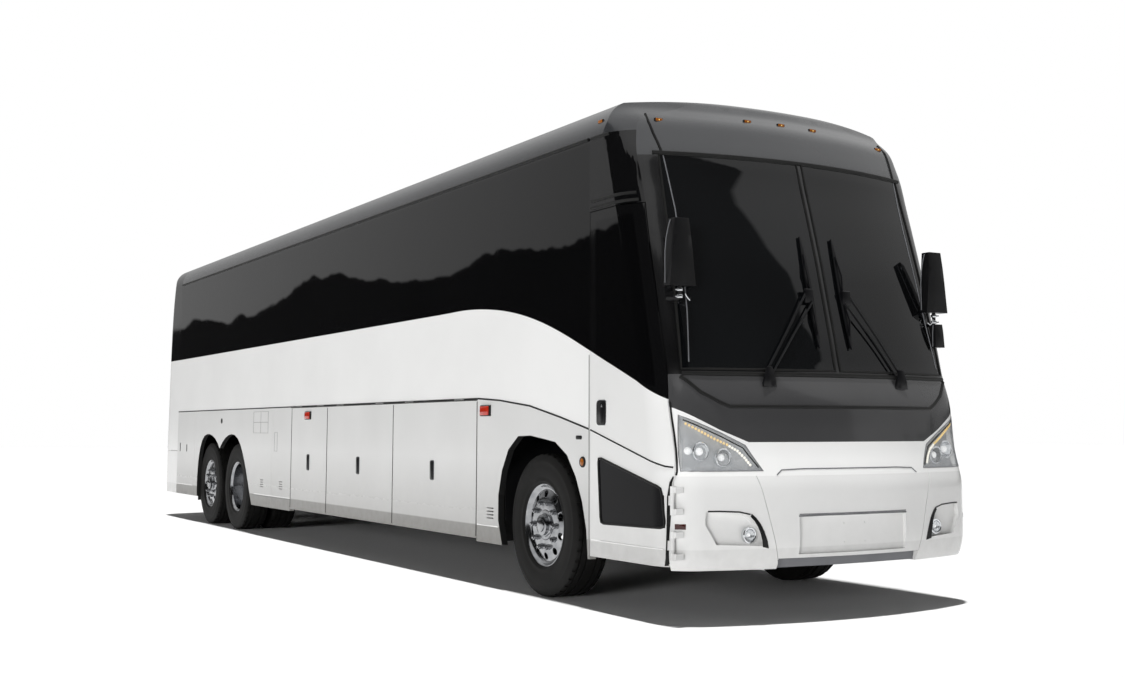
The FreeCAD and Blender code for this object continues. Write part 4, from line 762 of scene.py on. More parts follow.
# %% Bolt the wheels on
steered = [front_disc, front_nuts, front_cap_piece]
driven = [twin_disc, twin_nuts, drive_cap_piece]
for axle, x, pieces in (("front", front_x, steered), ("drive", drive_x, driven), ("tag", tag_x, steered)):
    group = [moved(piece, (x, wheel_y, hub_z)) for piece in pieces]
    if axle == "drive":
        group.append(moved(twin_disc, (x, wheel_y + twin_gap, hub_z), True))
    settle_sides(group, "forged_wheel_%s_*" % axle, "wheel_%s_*" % axle, polished_alloy,
                 ["wheel_%s_*" % axle])
clear(steered + driven)
print("wheels fitted")

# %% [markdown]
# ## Gaskets, rails and shut lines
# The windscreen is bonded into the cap and covered by a black rubber gasket, and a second gasket
# runs across above it, where the cap meets the glass, and up each side of the brow. Along the side
# a drip rail keeps rain off the panes, and a thin rubbing strip hides the joint between the upper
# wall and the doors. Each one is a bead swept along a line that was dropped onto the skin by rays
# that start well clear of it, 9 m ahead or 3 m to the right.

# %% Helpers for lines on the skin
ahead, behind, rightward = (-1, 0, 0), (1, 0, 0), (0, 1, 0)


def dropped(points, heading, names, stand=0.0, step=0.15):
    """A line filled in every step metres and dropped onto CAD nodes along a heading."""
    filled = []
    for start, end in zip(points, points[1:]):
        start, end = Vector(start), Vector(end)
        count = max(1, round((end - start).length / step))
        filled += [start.lerp(end, i / count) for i in range(count)]
    filled.append(Vector(points[-1]))
    return [on_skin(point, heading, names, stand) for point in filled]


def from_front(points, names, stand=0.0, step=0.15):
    """A front-view line of (y, z) points on the nose."""
    return dropped([(9, y, z) for y, z in points], ahead, names, stand, step)


def from_right(points, names, stand=0.0, step=0.08):
    """A side-view line of (x, z) points on the right-hand side."""
    return dropped([(x, -3, z) for x, z in points], rightward, names, stand, step)


def ribbon(first, second, thickness=0.003, offset=-1.0):
    """A sheet stretched between two lines of as many points, with a wall."""
    bpy.ops.mesh.primitive_grid_add(x_subdivisions=len(first) - 1, y_subdivisions=1, size=1)
    sheet = bpy.context.object
    for vertex, spot in zip(sheet.data.vertices, list(first) + list(second)):
        vertex.co = spot
    return thickened(sheet, thickness, offset)


def kept_faces(name, wanted):
    """A CAD node copied, merged and stripped of every face but the wanted ones."""
    sheet = copied(nodes[name])
    sheet.parent = None
    pick(sheet)
    enter()
    bpy.ops.mesh.remove_doubles(threshold=weld_distance / 2)
    bpy.ops.mesh.select_mode(type="FACE")
    mark_faces(sheet, lambda face: not wanted(face))
    bpy.ops.mesh.delete(type="FACE")
    bpy.ops.mesh.select_mode(type="VERT")
    leave()
    return sheet


def block(low, high, width=0.003, segments=2):
    """A block between two corners with rounded edges."""
    centre = [(a + b) / 2 for a, b in zip(low, high)]
    bpy.ops.mesh.primitive_cube_add(size=1, location=centre)
    piece = bpy.context.object
    piece.scale = [abs(b - a) for a, b in zip(low, high)]
    bpy.ops.object.transform_apply(location=True, rotation=True, scale=True)
    return soften(piece, width, segments)


def plate(points, depth, width=0.002, segments=2):
    """A flat outline, filled, pulled out by a vector and softened."""
    piece = draw_chain(points, closed=True)
    enter()
    bpy.ops.mesh.edge_face_add()
    bpy.ops.mesh.extrude_region_move(TRANSFORM_OT_translate={"value": depth})
    bpy.ops.mesh.select_all(action="SELECT")
    bpy.ops.mesh.normals_make_consistent(inside=False)
    leave()
    return soften(piece, width, segments)


nose = ["front_cap", "windscreen", "cowl_panel", "front_panel", "front_bumper", "headlamps", "roof_shell"]
right_side = ["side_wall_right", "side_glass_right", "skirt_right", "roof_shell"]

# %% Run the windscreen gaskets
post_half, screen_foot, screen_head = 0.022, 1.615, 3.09
pane_line = [(post_half, screen_foot), (1.135, screen_foot), (1.068, screen_head), (post_half, screen_head)]
beads = []
for side in (-1, 1):
    outline = [(side * y, z) for y, z in pane_line]
    line = from_front(outline + outline[:1], nose)[:-1]
    beads.append(sweep(line, 0.009, True, 3))
foot_line = from_front([(-1.14, 1.585), (1.14, 1.585)], nose)
brow_line = from_front([(-1.11, 3.1), (1.11, 3.1)], nose, 0.002)
beads += [sweep(foot_line, 0.016, sides=3), sweep(brow_line, 0.014, sides=3)]
brow_side = [(-1.045, 3.1), (-1.057, 3.18), (-1.069, 3.247), (-1.077, 3.333), (-1.062, 3.403)]
beads += both_sides([sweep(from_front(brow_side, nose, 0.001, 0.05), 0.009, sides=3)])
settle(join(beads), "windscreen_gaskets", "coach", gasket_rubber)
# A pale grey strip down each side edge of the windscreen is a painted highlight, standing for the reflection
# on the curved glass there.
highlight_line = [(-1.040, 3.08), (-1.030, 2.9), (-1.022, 2.7), (-1.03, 2.4), (-1.05, 2.0), (-1.085, 1.66)]
edge_highlights = both_sides([sweep(from_front(highlight_line, nose, 0.001, 0.1), 0.0045, sides=3)])
settle(join(edge_highlights), "windscreen_edge_highlights", "coach", rack_abs)

# %% Run the gasket round the cowl
cowl_line = [(-1.152, 1.565), (-1.115, 1.535), (-1.046, 1.465), (-0.93, 1.398), (-0.87, 1.372), (0.87, 1.372),
             (0.93, 1.398), (1.046, 1.465), (1.115, 1.535), (1.152, 1.565)]
cowl_bead = sweep(from_front(cowl_line, nose, 0.0, 0.12), 0.012, sides=3)
settle(cowl_bead, "cowl_gasket", "coach", gasket_rubber)
print("front gaskets", len(beads))

# %% Run the drip rail and the rubbing strip
side_y, gutter_z, trim_z = -1.295, 3.264, 1.47
tail_seam_x, door_rear_x = -5.915, 5.651
rail = sweep([(tail_seam_x + 0.02, side_y, gutter_z), (door_rear_x - 0.02, side_y, gutter_z)], 0.013, sides=3)
nose_rail = sweep(from_right([(5.67, 3.262), (5.9, 3.262)], right_side, -0.002, 0.08), 0.013, sides=3)
settle_both([rail, nose_rail], "drip_rails", gasket_rubber)
rear_strip = sweep([(tail_seam_x + 0.02, side_y, trim_z), (-0.87, side_y, trim_z)], 0.007, sides=3)
dip_line = [(3.86, trim_z), (4.258, 1.448), (4.761, 1.398), (5.226, 1.312), (5.64, 1.226)]
dip_strip = sweep([(x, side_y, z + 0.002) for x, z in dip_line], 0.007, sides=3)
hinge_z, cover_steps = 1.468, 8


def hinge_strip(start, end, inner, outer, low, high):
    """Part of a thin tube round the axis of the flap hinges, between two angles in degrees."""
    section = []
    for radius, order in ((outer, 1), (inner, -1)):
        turns = [math.radians(low + (high - low) * i / cover_steps) for i in range(cover_steps + 1)][::order]
        section += [(start, side_y + radius * math.cos(turn), hinge_z + radius * math.sin(turn))
                    for turn in turns]
    return plate(section, (end - start, 0, 0), 0.0003, 1)


hinge_cover = hinge_strip(-0.862, 3.855, 0.0085, 0.0097, 75, 163)
settle_both([rear_strip, dip_strip, hinge_cover], "rubbing_strips", gasket_rubber)

# %% Seal the panes
pane_count, glass_rear_x = 8, -5.99
pane_pitch = (door_rear_x - glass_rear_x) / pane_count
seals = []
for i in range(1, pane_count):
    x = glass_rear_x + i * pane_pitch
    low = 2.2 if x < 3.1 else 2.12
    seals.append(sweep([(x, -1.2905, low), (x, -1.2905, 3.235)], 0.0045, sides=2))
settle_both(seals, "pane_seals", gasket_rubber)
print("side strips", len(seals))

# %% Run the rails and the strip of the entrance door
door_rail = [sweep(from_right([(5.67, z), (6.185 - (z - 2.765) * 0.4, z)], ["side_wall_right"], 0.001, 0.06),
                   0.011, sides=3)
             for z in (2.765, 2.815)]
settle(join(door_rail), "door_drip_rails", "coach", gasket_rubber)
door_side = ["entrance_door"]
door_strip_line = [(door_rear_x + 0.012, 1.222), (6.55, 0.992), (6.60, 0.986)]
door_strip = sweep(from_right(door_strip_line, door_side, -0.001, 0.06), 0.006, sides=3)
settle(door_strip, "door_rubbing_strip", "entrance_door", gasket_rubber)
pane_corners = [(5.771, 1.038), (6.538, 0.858), (6.568, 0.606), (5.806, 0.593)]
pane_line = []
for i, corner in enumerate(pane_corners):
    before, after = Vector(pane_corners[i - 1]), Vector(pane_corners[(i + 1) % 4])
    here = Vector(corner)
    start, end = here.lerp(before, 0.04 / (here - before).length), here.lerp(after,
                                                                             0.04 / (here - after).length)
    pane_line += [start, start.lerp(here, 0.62).lerp(end.lerp(here, 0.62), 0.5), end]
pane_line = [(p.x, p.y) for p in pane_line]
door_skin = ["entrance_door", "door_glass"]
pane_bead = sweep(from_right(pane_line + pane_line[:1], door_skin, 0.002, 0.12)[:-1], 0.0085, True, 3)
settle(pane_bead, "door_pane_gasket", "entrance_door", gasket_rubber)

# %% Glaze the low pane of the door
across_cells, up_cells = 36, 14
bpy.ops.mesh.primitive_grid_add(x_subdivisions=across_cells, y_subdivisions=up_cells, size=1)
low_pane = bpy.context.object
top_left, top_right, foot_right, foot_left = [Vector((x, -3, z)) for x, z in pane_corners]
for vertex in low_pane.data.vertices:
    share, rise = vertex.co.x + 0.5, vertex.co.y + 0.5
    corner_cut = 0.04 * max(0.0, (abs(vertex.co.x) - 0.47) / 0.03) * max(0.0,
                                                                         (abs(vertex.co.y) - 0.42) / 0.08)
    spot = foot_left.lerp(foot_right, share).lerp(top_left.lerp(top_right, share), rise)
    spot.z -= corner_cut * (1 if rise > 0.5 else -1)
    vertex.co = on_skin(spot, rightward, door_skin, 0.001)
smoked_acrylic = tinted_glass("smoked acrylic pane", "#141416", 0.0, 0.08)
settle(thickened(low_pane, 0.002), "door_low_pane", "entrance_door", smoked_acrylic)
print("door pane glazed")

# %% Run bright beads along the sill creases
# Each bead is the crease itself, drawn in the brighter wall white, so it is partly a painted highlight along
# the crease.
sill_z = 0.474
sills = [sweep([(start, side_y, sill_z), (end, side_y, sill_z)], 0.0045, sides=2)
         for start, end in ((3.865, 4.235), (-2.2, -0.87), (-5.90, -5.05))]
settle_both(sills, "sill_crease_highlights", upper_white)
door_sill = sweep(from_right([(5.675, sill_z), (6.55, sill_z)], door_side, 0.0, 0.08), 0.0045, sides=2)
settle(door_sill, "door_sill_crease_highlight", "entrance_door", upper_white)
print("sills turned")

# %% Line the wheel arches
arch_openings, lip_foot, lip_head = ((4.2, 5.64), (-4.81, -2.28)), 0.345, 1.2


def arch_face(face):
    """Is this face the cut edge of a wheel opening?"""
    inside = any(low < face.center.x < high for low, high in arch_openings)
    return inside and lip_foot < face.center.z < lip_head and abs(face.normal.y) < 0.4 and face.normal.z < 0.65


for side in sides:
    lining = kept_faces("skirt_" + side, arch_face)
    print("arch faces on the", side, len(lining.data.polygons))
    settle(thickened(lining, 0.003, 1.0), "arch_edging_" + side, "coach", gasket_rubber)
mud_flaps = [block((x, -1.235, foot), (x + 0.012, -0.80, 0.92), 0.004, 2) for x,
             foot in ((4.185, 0.36), (-4.97, 0.28))]
settle_both(mud_flaps, "mud_flaps", gasket_rubber)

# %% Hang a grey sheet under the bumper as painted shade
# The sheet stands for the shaded underside of the bumper, which faces away from the lamps: painted shade.
underside_line = [(0.2 * i - 0.6, 0.45) for i in range(7)]
underside_top = from_front(underside_line, nose, -0.045, 1.0)
underside_foot = [place + Vector((-0.015, 0, -0.105)) for place in underside_top]
settle(ribbon(underside_foot, underside_top, 0.004), "bumper_underside_shade", "coach", rack_abs)

# %% Seal the seams round the door
seam_places = [(6.619, -1.229, 0.937), (6.618, -1.222, 0.96), (6.610, -1.217, 1.02), (6.594, -1.213, 1.1),
               (6.578, -1.216, 1.2), (6.562, -1.223, 1.3), (6.546, -1.226, 1.4)]
seam_seal = sweep([(x + 0.006, y, z) for x, y, z in seam_places], 0.0065, sides=3)
settle(seam_seal, "door_seam_seal", "coach", gasket_rubber)
lip_line = [(6.572, 0.372, -1.284), (6.582, 0.42, -1.284), (6.588, 0.5, -1.284), (6.594, 0.6, -1.284),
            (6.598, 0.7, -1.284), (6.601, 0.8, -1.284), (6.607, 0.895, -1.268), (6.613, 0.93, -1.247)]
seam_lip = ribbon([Vector((x, -1.24, z)) for x, z, reach in lip_line],
                  [Vector((x + 0.002, reach, z)) for x, z, reach in lip_line], 0.004, 0.0)
settle(seam_lip, "door_seam_lip", "entrance_door", gasket_rubber)
# The grey seal sits in the joint at the door's rear edge, and its pale grey band stands for the shade in the
# jamb: partly painted shade.
jamb_rubber = dark_finish("grey EPDM sponge", "#9a9a99", "#8c8c8b", 0.7, 0.004, 0.0004)
jamb = sweep([(door_rear_x - 0.008, side_y + 0.003, 0.37), (door_rear_x - 0.008, side_y + 0.003, 1.74)],
             0.007, sides=3)
settle(jamb, "door_jamb_seal_and_shade", "coach", jamb_rubber)
flap_edges = (3.855, 2.082, 0.304, -0.862)
flap_foot, flap_head, seal_inset = 0.38, 1.447, 0.0095
for number, (front, rear) in enumerate(zip(flap_edges, flap_edges[1:]), 1):
    lines = [front - seal_inset] + ([rear + seal_inset] if number == 3 else [])
    beads = [sweep([(x, side_y + 0.001, z) for z in (flap_foot, flap_head)], 0.0048, sides=2) for x in lines]
    beads.append(hinge_strip(rear + 0.004, front - 0.004, 0.0115, 0.013, 188, 285))
    settle_sides(beads, "flap_seal_*_%d" % number, "luggage_door_*_%d" % number, gasket_rubber)
print("seams sealed")

# %% [markdown]
# ## Headlamps
# Behind each clear lens sits a pan of bright lacquered plastic. It carries two round bowls and a
# row of small light-emitting diodes along its upper and inner edge. The lens is peeled off the CAD
# solid as a thin sheet, since its outline and double curve are already right there. The pan is
# the same sheet pushed back, drawn out backwards into a tray and then opened in front.

# %% Mix the lamp finishes
def lamp_lacquer(name, base, shade, rough, metal):
    """Bright lacquer or vacuum metal on moulded plastic, with a faint cloudiness."""
    return clouded(name, 0.04, base, shade, {"Roughness": rough, "Metallic": metal},
                   (0.01, 1.0, 0.08, 0.0004))


def glowing(name, base, glow, strength):
    """The small lit face of a lamp: pale plastic with a little light of its own."""
    values = {"Roughness": 0.15, "Emission Color": linear(glow), "Emission Strength": strength}
    return clouded(name, 0.01, base, glow, values)


lens_sheet = clouded("clear hard-coated polycarbonate sheet", 0.05, "#eef1f3", "#dfe3e6",
                     {"Roughness": 0.03, "IOR": 1.58, "Alpha": 0.16}, (0.02, 1.0, 0.05, 0.0005))
pan_lacquer = lamp_lacquer("silver lacquer on moulded plastic", "#b4b6b8", "#96989b", 0.3, 0.15)
bowl_metal = lamp_lacquer("vacuum aluminium on a lamp bowl", "#e2e4e6", "#cfd2d5", 0.08, 1.0)
smoked_metal = lamp_lacquer("smoked vacuum aluminium", "#3c3d40", "#2a2b2e", 0.15, 1.0)
white_diode = glowing("white diode lens", "#f4f4ee", "#fff8e8", 0.5)
amber_diode = glowing("warm diode lens", "#f0cf78", "#ffd980", 0.35)
amber_lens = glowing("amber polycarbonate", "#7a3f0c", "#a8641a", 0.05)
lit_glass = glowing("lit lamp glass", "#ffffff", "#ffffff", 0.35)
print("lamp finishes mixed")

# %% Helpers for lamps
skin_gap, least_facing = 0.001, 0.2


def peeled(name, push=0.0):
    """The outermost faces of a CAD node as seen from ahead, copied as a thin sheet and pushed back."""
    def foremost(face):
        outer = first_hit((9, face.center.y, face.center.z), ahead, name)
        return bool(outer) and abs(outer[1][0] - face.center.x) <= skin_gap and face.normal.x >= least_facing

    sheet = kept_faces(name, foremost)
    enter()
    bpy.ops.transform.translate(value=(-push, 0, 0))
    leave()
    return sheet


def pan_behind(name, push, depth):
    """A shallow pan behind a CAD node's face: the peeled sheet pulled back, then opened in front."""
    pan = peeled(name, push)
    front_faces = len(pan.data.polygons)
    enter()
    bpy.ops.mesh.extrude_region_move(TRANSFORM_OT_translate={"value": (-depth, 0, 0)})

    def in_front(face):
        outer = first_hit((9, face.center.y, face.center.z), ahead, name)
        near = bool(outer) and abs(outer[1][0] - push - face.center.x) < 3 * skin_gap
        return near and abs(face.normal.x) > least_facing

    opened_faces = mark_faces(pan, in_front)
    bpy.ops.mesh.delete(type="FACE")
    leave()
    print("pan:", front_faces, "faces in the sheet,", opened_faces, "opened")
    return thickened(pan, 0.002, 0.0)


print("lamp helpers ready")

# %% Build the headlamp pans and bowls
lamp_outline = [(1.192, 1.318), (0.944, 1.206), (0.784, 1.124), (0.690, 0.962), (1.206, 0.962)]
rim_outline = [(1.170, 1.288), (0.944, 1.182), (0.803, 1.108), (0.718, 0.984), (1.184, 0.984)]
clear_sheets = thickened(peeled("headlamps"), 0.003)
pans = pan_behind("headlamps", 0.004, 0.05)
ring_section = [(0.050, 0.0), (0.053, -0.006), (0.058, -0.008), (0.063, -0.005), (0.064, 0.004),
                (0.060, 0.03), (0.048, 0.03), (0.050, 0.0)]
bowl_section = [(0.0, 0.040), (0.022, 0.036), (0.040, 0.022), (0.050, 0.002), (0.052, 0.004), (0.042, 0.026),
                (0.023, 0.041), (0.0, 0.045)]
bulb_section = [(0.0, 0.004), (0.012, 0.006), (0.021, 0.012), (0.025, 0.022), (0.025, 0.034), (0.0, 0.034)]
rings, bowls, bulbs = [], [], []
for y, z, back in ((0.922, 1.045, -0.004), (1.062, 1.085, 0.012)):
    centre = on_skin((9, -y, z), ahead, nose, -0.030)
    rings.append(spin_section(ring_section, 40, ahead, centre))
    bowls.append(spin_section(bowl_section, 40, ahead, centre))
    bulbs.append(spin_section(bulb_section, 28, ahead, centre + Vector((back, 0, 0))))
bulbs.append(spin_section(bulb_section, 28, ahead, on_skin((9, -1.125, 1.088), ahead, nose, -0.034)))
dark_bowl, bright_bowl = bowls
settle(clear_sheets, "headlamp_lenses", "coach", lens_sheet, ["headlamps"])
settle(pans, "headlamp_pans", "coach", pan_lacquer)
settle_both(rings + [bright_bowl], "headlamp_rings", bowl_metal)
settle_both([dark_bowl], "headlamp_dark_bowls", smoked_metal)
settle_both(bulbs, "headlamp_bulbs", lit_glass)
print("headlamps built")

# %% Set the row of diodes
diode = spin_section([(0.0, -0.006), (0.005, -0.0055), (0.0085, -0.003), (0.0095, 0.002), (0.0, 0.002)], 12,
                     behind)
diode_line = [(-1.150, 1.262), (-0.979, 1.166), (-0.90, 1.128), (-0.835, 1.088), (-0.795, 1.045),
              (-0.765, 1.0)]
diode_places = from_front(diode_line, nose, -0.010, 0.021)
amber_count = len(diode_places) * 3 // 5
warm = [moved(diode, place) for place in diode_places[:amber_count]]
cold = [moved(diode, place) for place in diode_places[amber_count:]]
clear([diode])
settle_both(warm, "headlamp_warm_diodes", amber_diode)
settle_both(cold, "headlamp_cold_diodes", white_diode)
print("diodes a side", len(diode_places))

# %% Frame the headlamps
dark_line = [(-y, z) for y, z in rim_outline[:4]]
# The fine grey line round the outer outline of each lamp is a painted shadow.
lamp_shadow_outline = [(-y, z) for y, z in lamp_outline]
dark_bezel = sweep(from_front(dark_line, nose, 0.0, 0.06), 0.004, sides=3)
lamp_shadow_line = sweep(from_front(lamp_shadow_outline + lamp_shadow_outline[:1], nose, 0.0, 0.06)[:-1], 0.0025, True, 3)
settle_both([dark_bezel], "headlamp_bezels", gasket_rubber)
settle_both([lamp_shadow_line], "headlamp_shadow_lines", rack_abs)

# %% [markdown]
# ## Fog lamps and the bumper
# Each fog lamp is a round sealed unit at the inner end of its pocket, with a chromed ring, a dished
# bowl and a domed glass. The dark crescent beside it is painted shadow, a black sheet laid on the
# bumper, and the dark lines along the tops of the pockets and of the plate recess are painted shadow
# too. Along the crease of the long shelf under the nose panel runs a grey bead, a painted shadow line.

# %% Build the fog lamps
fog_y, fog_z = 0.80, 0.56
fog_face = on_skin((9, -fog_y, fog_z), ahead, ["fog_lamps"])
fog_ring = spin_section([(0.038, 0.0), (0.040, -0.005), (0.046, -0.007), (0.0515, -0.003), (0.052, 0.02),
                         (0.038, 0.02), (0.038, 0.0)], 40, ahead, fog_face)
fog_bowl = spin_section([(0.0, 0.022), (0.02, 0.018), (0.034, 0.008), (0.039, 0.0), (0.040, 0.004),
                         (0.034, 0.014), (0.0, 0.026)], 36, ahead, fog_face)
fog_glass = spin_section([(0.0, -0.008), (0.016, -0.0065), (0.030, -0.002), (0.039, 0.003), (0.039, 0.006),
                          (0.030, 0.001), (0.0, -0.005)], 36, ahead, fog_face)
fog_bulb = spin_section([(0.0, 0.002), (0.008, 0.004), (0.011, 0.010), (0.011, 0.020), (0.0, 0.020)], 20,
                        ahead, fog_face)
settle_both([fog_ring, fog_bowl], "fog_lamp_rings", bowl_metal, ["fog_lamps"])
settle_both([fog_glass], "fog_lamp_glasses", lens_sheet)
settle_both([fog_bulb], "fog_lamp_bulbs", lit_glass)
print("fog lamps built")

# %% Lay the painted shadows beside the fog lamps
# The crescent is a black sheet that stands for the shadow beside each fog lamp; the beads along the tops of
# the pocket and the plate recess are painted shadow lines.
crescent_outer = [(-0.792, 0.694), (-0.762, 0.668), (-0.733, 0.63), (-0.708, 0.58), (-0.688, 0.525),
               (-0.676, 0.474)]
crescent_inner = [(-0.80, 0.676), (-0.776, 0.65), (-0.753, 0.612), (-0.738, 0.57), (-0.727, 0.525),
               (-0.722, 0.484)]
crescent_rows = [[on_skin((9, y, z), ahead, ["front_bumper"]) for y, z in pair] for pair in zip(crescent_inner,
                                                                                             crescent_outer)]
for row in crescent_rows:
    row[0].x = row[1].x = max(spot.x for spot in row) + 0.004
shadow_crescent = ribbon([row[0] for row in crescent_rows], [row[1] for row in crescent_rows])
pocket_shadow_line = from_front([(-1.072, 0.712), (-1.0, 0.712), (-0.87, 0.706), (-0.80, 0.690)], ["front_bumper"],
                        0.0, 0.05)
plate_shadow_line = from_front([(-0.46, 0.672), (0.46, 0.672)], ["front_bumper"], 0.0, 0.2)
shadow_crescent = join([shadow_crescent, sweep(pocket_shadow_line, 0.005, sides=2)])
settle(sweep(plate_shadow_line, 0.005, sides=2), "plate_recess_shadow_line", "coach", rack_abs)
settle_both([shadow_crescent], "fog_pocket_shadows", grained_abs)

# %% Draw the painted shadow lines on the nose
# Grey beads along the crease of the shelf under the nose panel and along the top of the plate recess stand for
# their shadows: painted shadow lines.
lip_line = [(-0.60, 0.935), (-0.56, 0.966), (-0.40, 0.972), (0.40, 0.972), (0.56, 0.966), (0.60, 0.935)]
lip = sweep(from_front(lip_line, nose, -0.001, 0.1), 0.0045, sides=3)
recess_shadow_line = sweep(from_front([(-0.455, 0.683), (0.455, 0.683)], ["front_bumper"], 0.0, 0.1), 0.004, sides=3)
settle(join([lip, recess_shadow_line]), "nose_shadow_lines", "coach", rack_abs)

# %% [markdown]
# ## Mirrors
# A mirror head is a tall ABS shell, narrower at the top, with a thin pale rim where the shell meets
# the glass housing. It hangs from a tube that is clamped with bright plated clamps. The driver's
# side carries a small round-topped mirror below the main one. The shell is a block whose top is
# scaled in, with deep bevels, and the glass is let into the face that looks backwards.

# %% Shape the mirror heads
plated_steel = lamp_lacquer("chromium-plated steel", "#d8dadc", "#c4c6c9", 0.12, 1.0)
mirror_glass = lamp_lacquer("silvered mirror glass", "#c9ced2", "#bcc2c7", 0.02, 1.0)
head_lean = 0.012


def mirror_head(width, depth, height, top_share):
    """A mirror shell about the origin, with its narrower top, its glass and the rim round its face."""
    def lean(z):
        return max(0.0, z / height + 0.05) / 0.55

    def narrowed(z):
        return 1 - (1 - top_share) * lean(z) ** 2

    shell = block((-depth / 2, -width / 2, -height / 2), (depth / 2, width / 2, height / 2), 0.001, 1)
    for vertex in shell.data.vertices:
        vertex.co.y *= narrowed(vertex.co.z)
        vertex.co.x -= head_lean * lean(vertex.co.z)
    pick(shell)
    enter()
    bpy.ops.mesh.subdivide(number_cuts=3)
    enter("DESELECT")
    leave()
    for vertex in shell.data.vertices:
        share = (vertex.co.z + height / 2) / height
        bulge = 1 - (2 * vertex.co.y / width) ** 2
        if vertex.co.x > 0:
            vertex.co.x += 0.012 * bulge * min(1.0, 4 * share * (1 - share))
    soften(shell, 0.014, 3, 0.9)
    glass = block((-depth / 2 - 0.002, -width * 0.43, -height * 0.44),
                  (-depth / 2 + 0.004, width * 0.43, height * 0.40),
                  0.0015, 2)
    for vertex in glass.data.vertices:
        vertex.co.y *= narrowed(vertex.co.z)
    half, base = width / 2, -depth / 2 + 0.022
    levels = [share * height for share in (-0.46, -0.2, 0.0, 0.2, 0.36, 0.47)]
    rim = [(half * narrowed(z) + 0.001, z) for z in levels]
    rim_line = [(base, -y, z) for y, z in rim] + [(base, y, z) for y, z in rim[::-1]]
    return shell, glass, sweep(rim_line, 0.0035, sides=2)


mirror_x, mirror_y = 6.515, 1.12
clamp_section = [(0.0145, -0.011), (0.019, -0.011), (0.021, -0.008), (0.021, 0.008), (0.019, 0.011),
                 (0.0145, 0.011), (0.0145, -0.011)]
bolt_section = [(0.0, -0.032), (0.006, -0.032), (0.0075, -0.029), (0.0075, -0.012), (0.0045, -0.010),
                (0.0045, 0.02), (0.0, 0.02)]
heads, clamps, tubes = [], [], []
for side, foot in ((-1, 2.165), (1, 2.085)):
    centre = Vector((mirror_x, side * mirror_y, foot + 0.2125))
    heads.append([placed(piece, centre) for piece in mirror_head(0.205, 0.078, 0.445, 0.55)])
    low = Vector((mirror_x, side * mirror_y, foot - 0.09))
    root = on_skin((9, side * 1.16, foot - 0.09), ahead, nose, -0.006)
    tubes.append(sweep([low + Vector((0, 0, 0.10)), low + Vector((0, 0, 0.012)), low.lerp(root, 0.12), root],
                       0.0135, sides=3))
    for rise in (0.012, 0.058):
        clamps.append(spin_section(clamp_section, 24, (0, 0, 1), low + Vector((0, 0, rise))))
        clamps.append(spin_section(bolt_section, 12, behind, low + Vector((0.006, side * 0.022, rise))))
    hook = [low + Vector((0.020, -side * 0.03, 0.03)), low + Vector((0.026, -side * 0.045, 0.0)),
            low + Vector((0.022, -side * 0.06, -0.012)), low + Vector((0.010, -side * 0.07, 0.004))]
    clamps.append(sweep(hook, 0.005, sides=3))
small_place = Vector((mirror_x + 0.02, 1.135, 1.905))
heads.append([placed(piece, small_place) for piece in mirror_head(0.09, 0.05, 0.17, 0.8)])
shells, glasses, rims = [list(pieces) for pieces in zip(*heads)]
settle(join(shells + tubes), "mirror_shells", "coach", grained_abs, ["mirrors"])
settle(join(glasses), "mirror_glasses", "coach", mirror_glass)
settle(join(rims), "mirror_rims", "coach", rack_abs)
settle(join(clamps), "mirror_clamps", "coach", plated_steel)
print("mirrors hung")

# %% [markdown]
# ## Wipers
# A pantograph wiper keeps its blade upright all the way across: two parallel rods run from a
# double spindle to a link at the middle of the blade. The blade is a tapered spine with a rubber
# lip, pointed at both ends, and claws spread the spring's pressure along it.

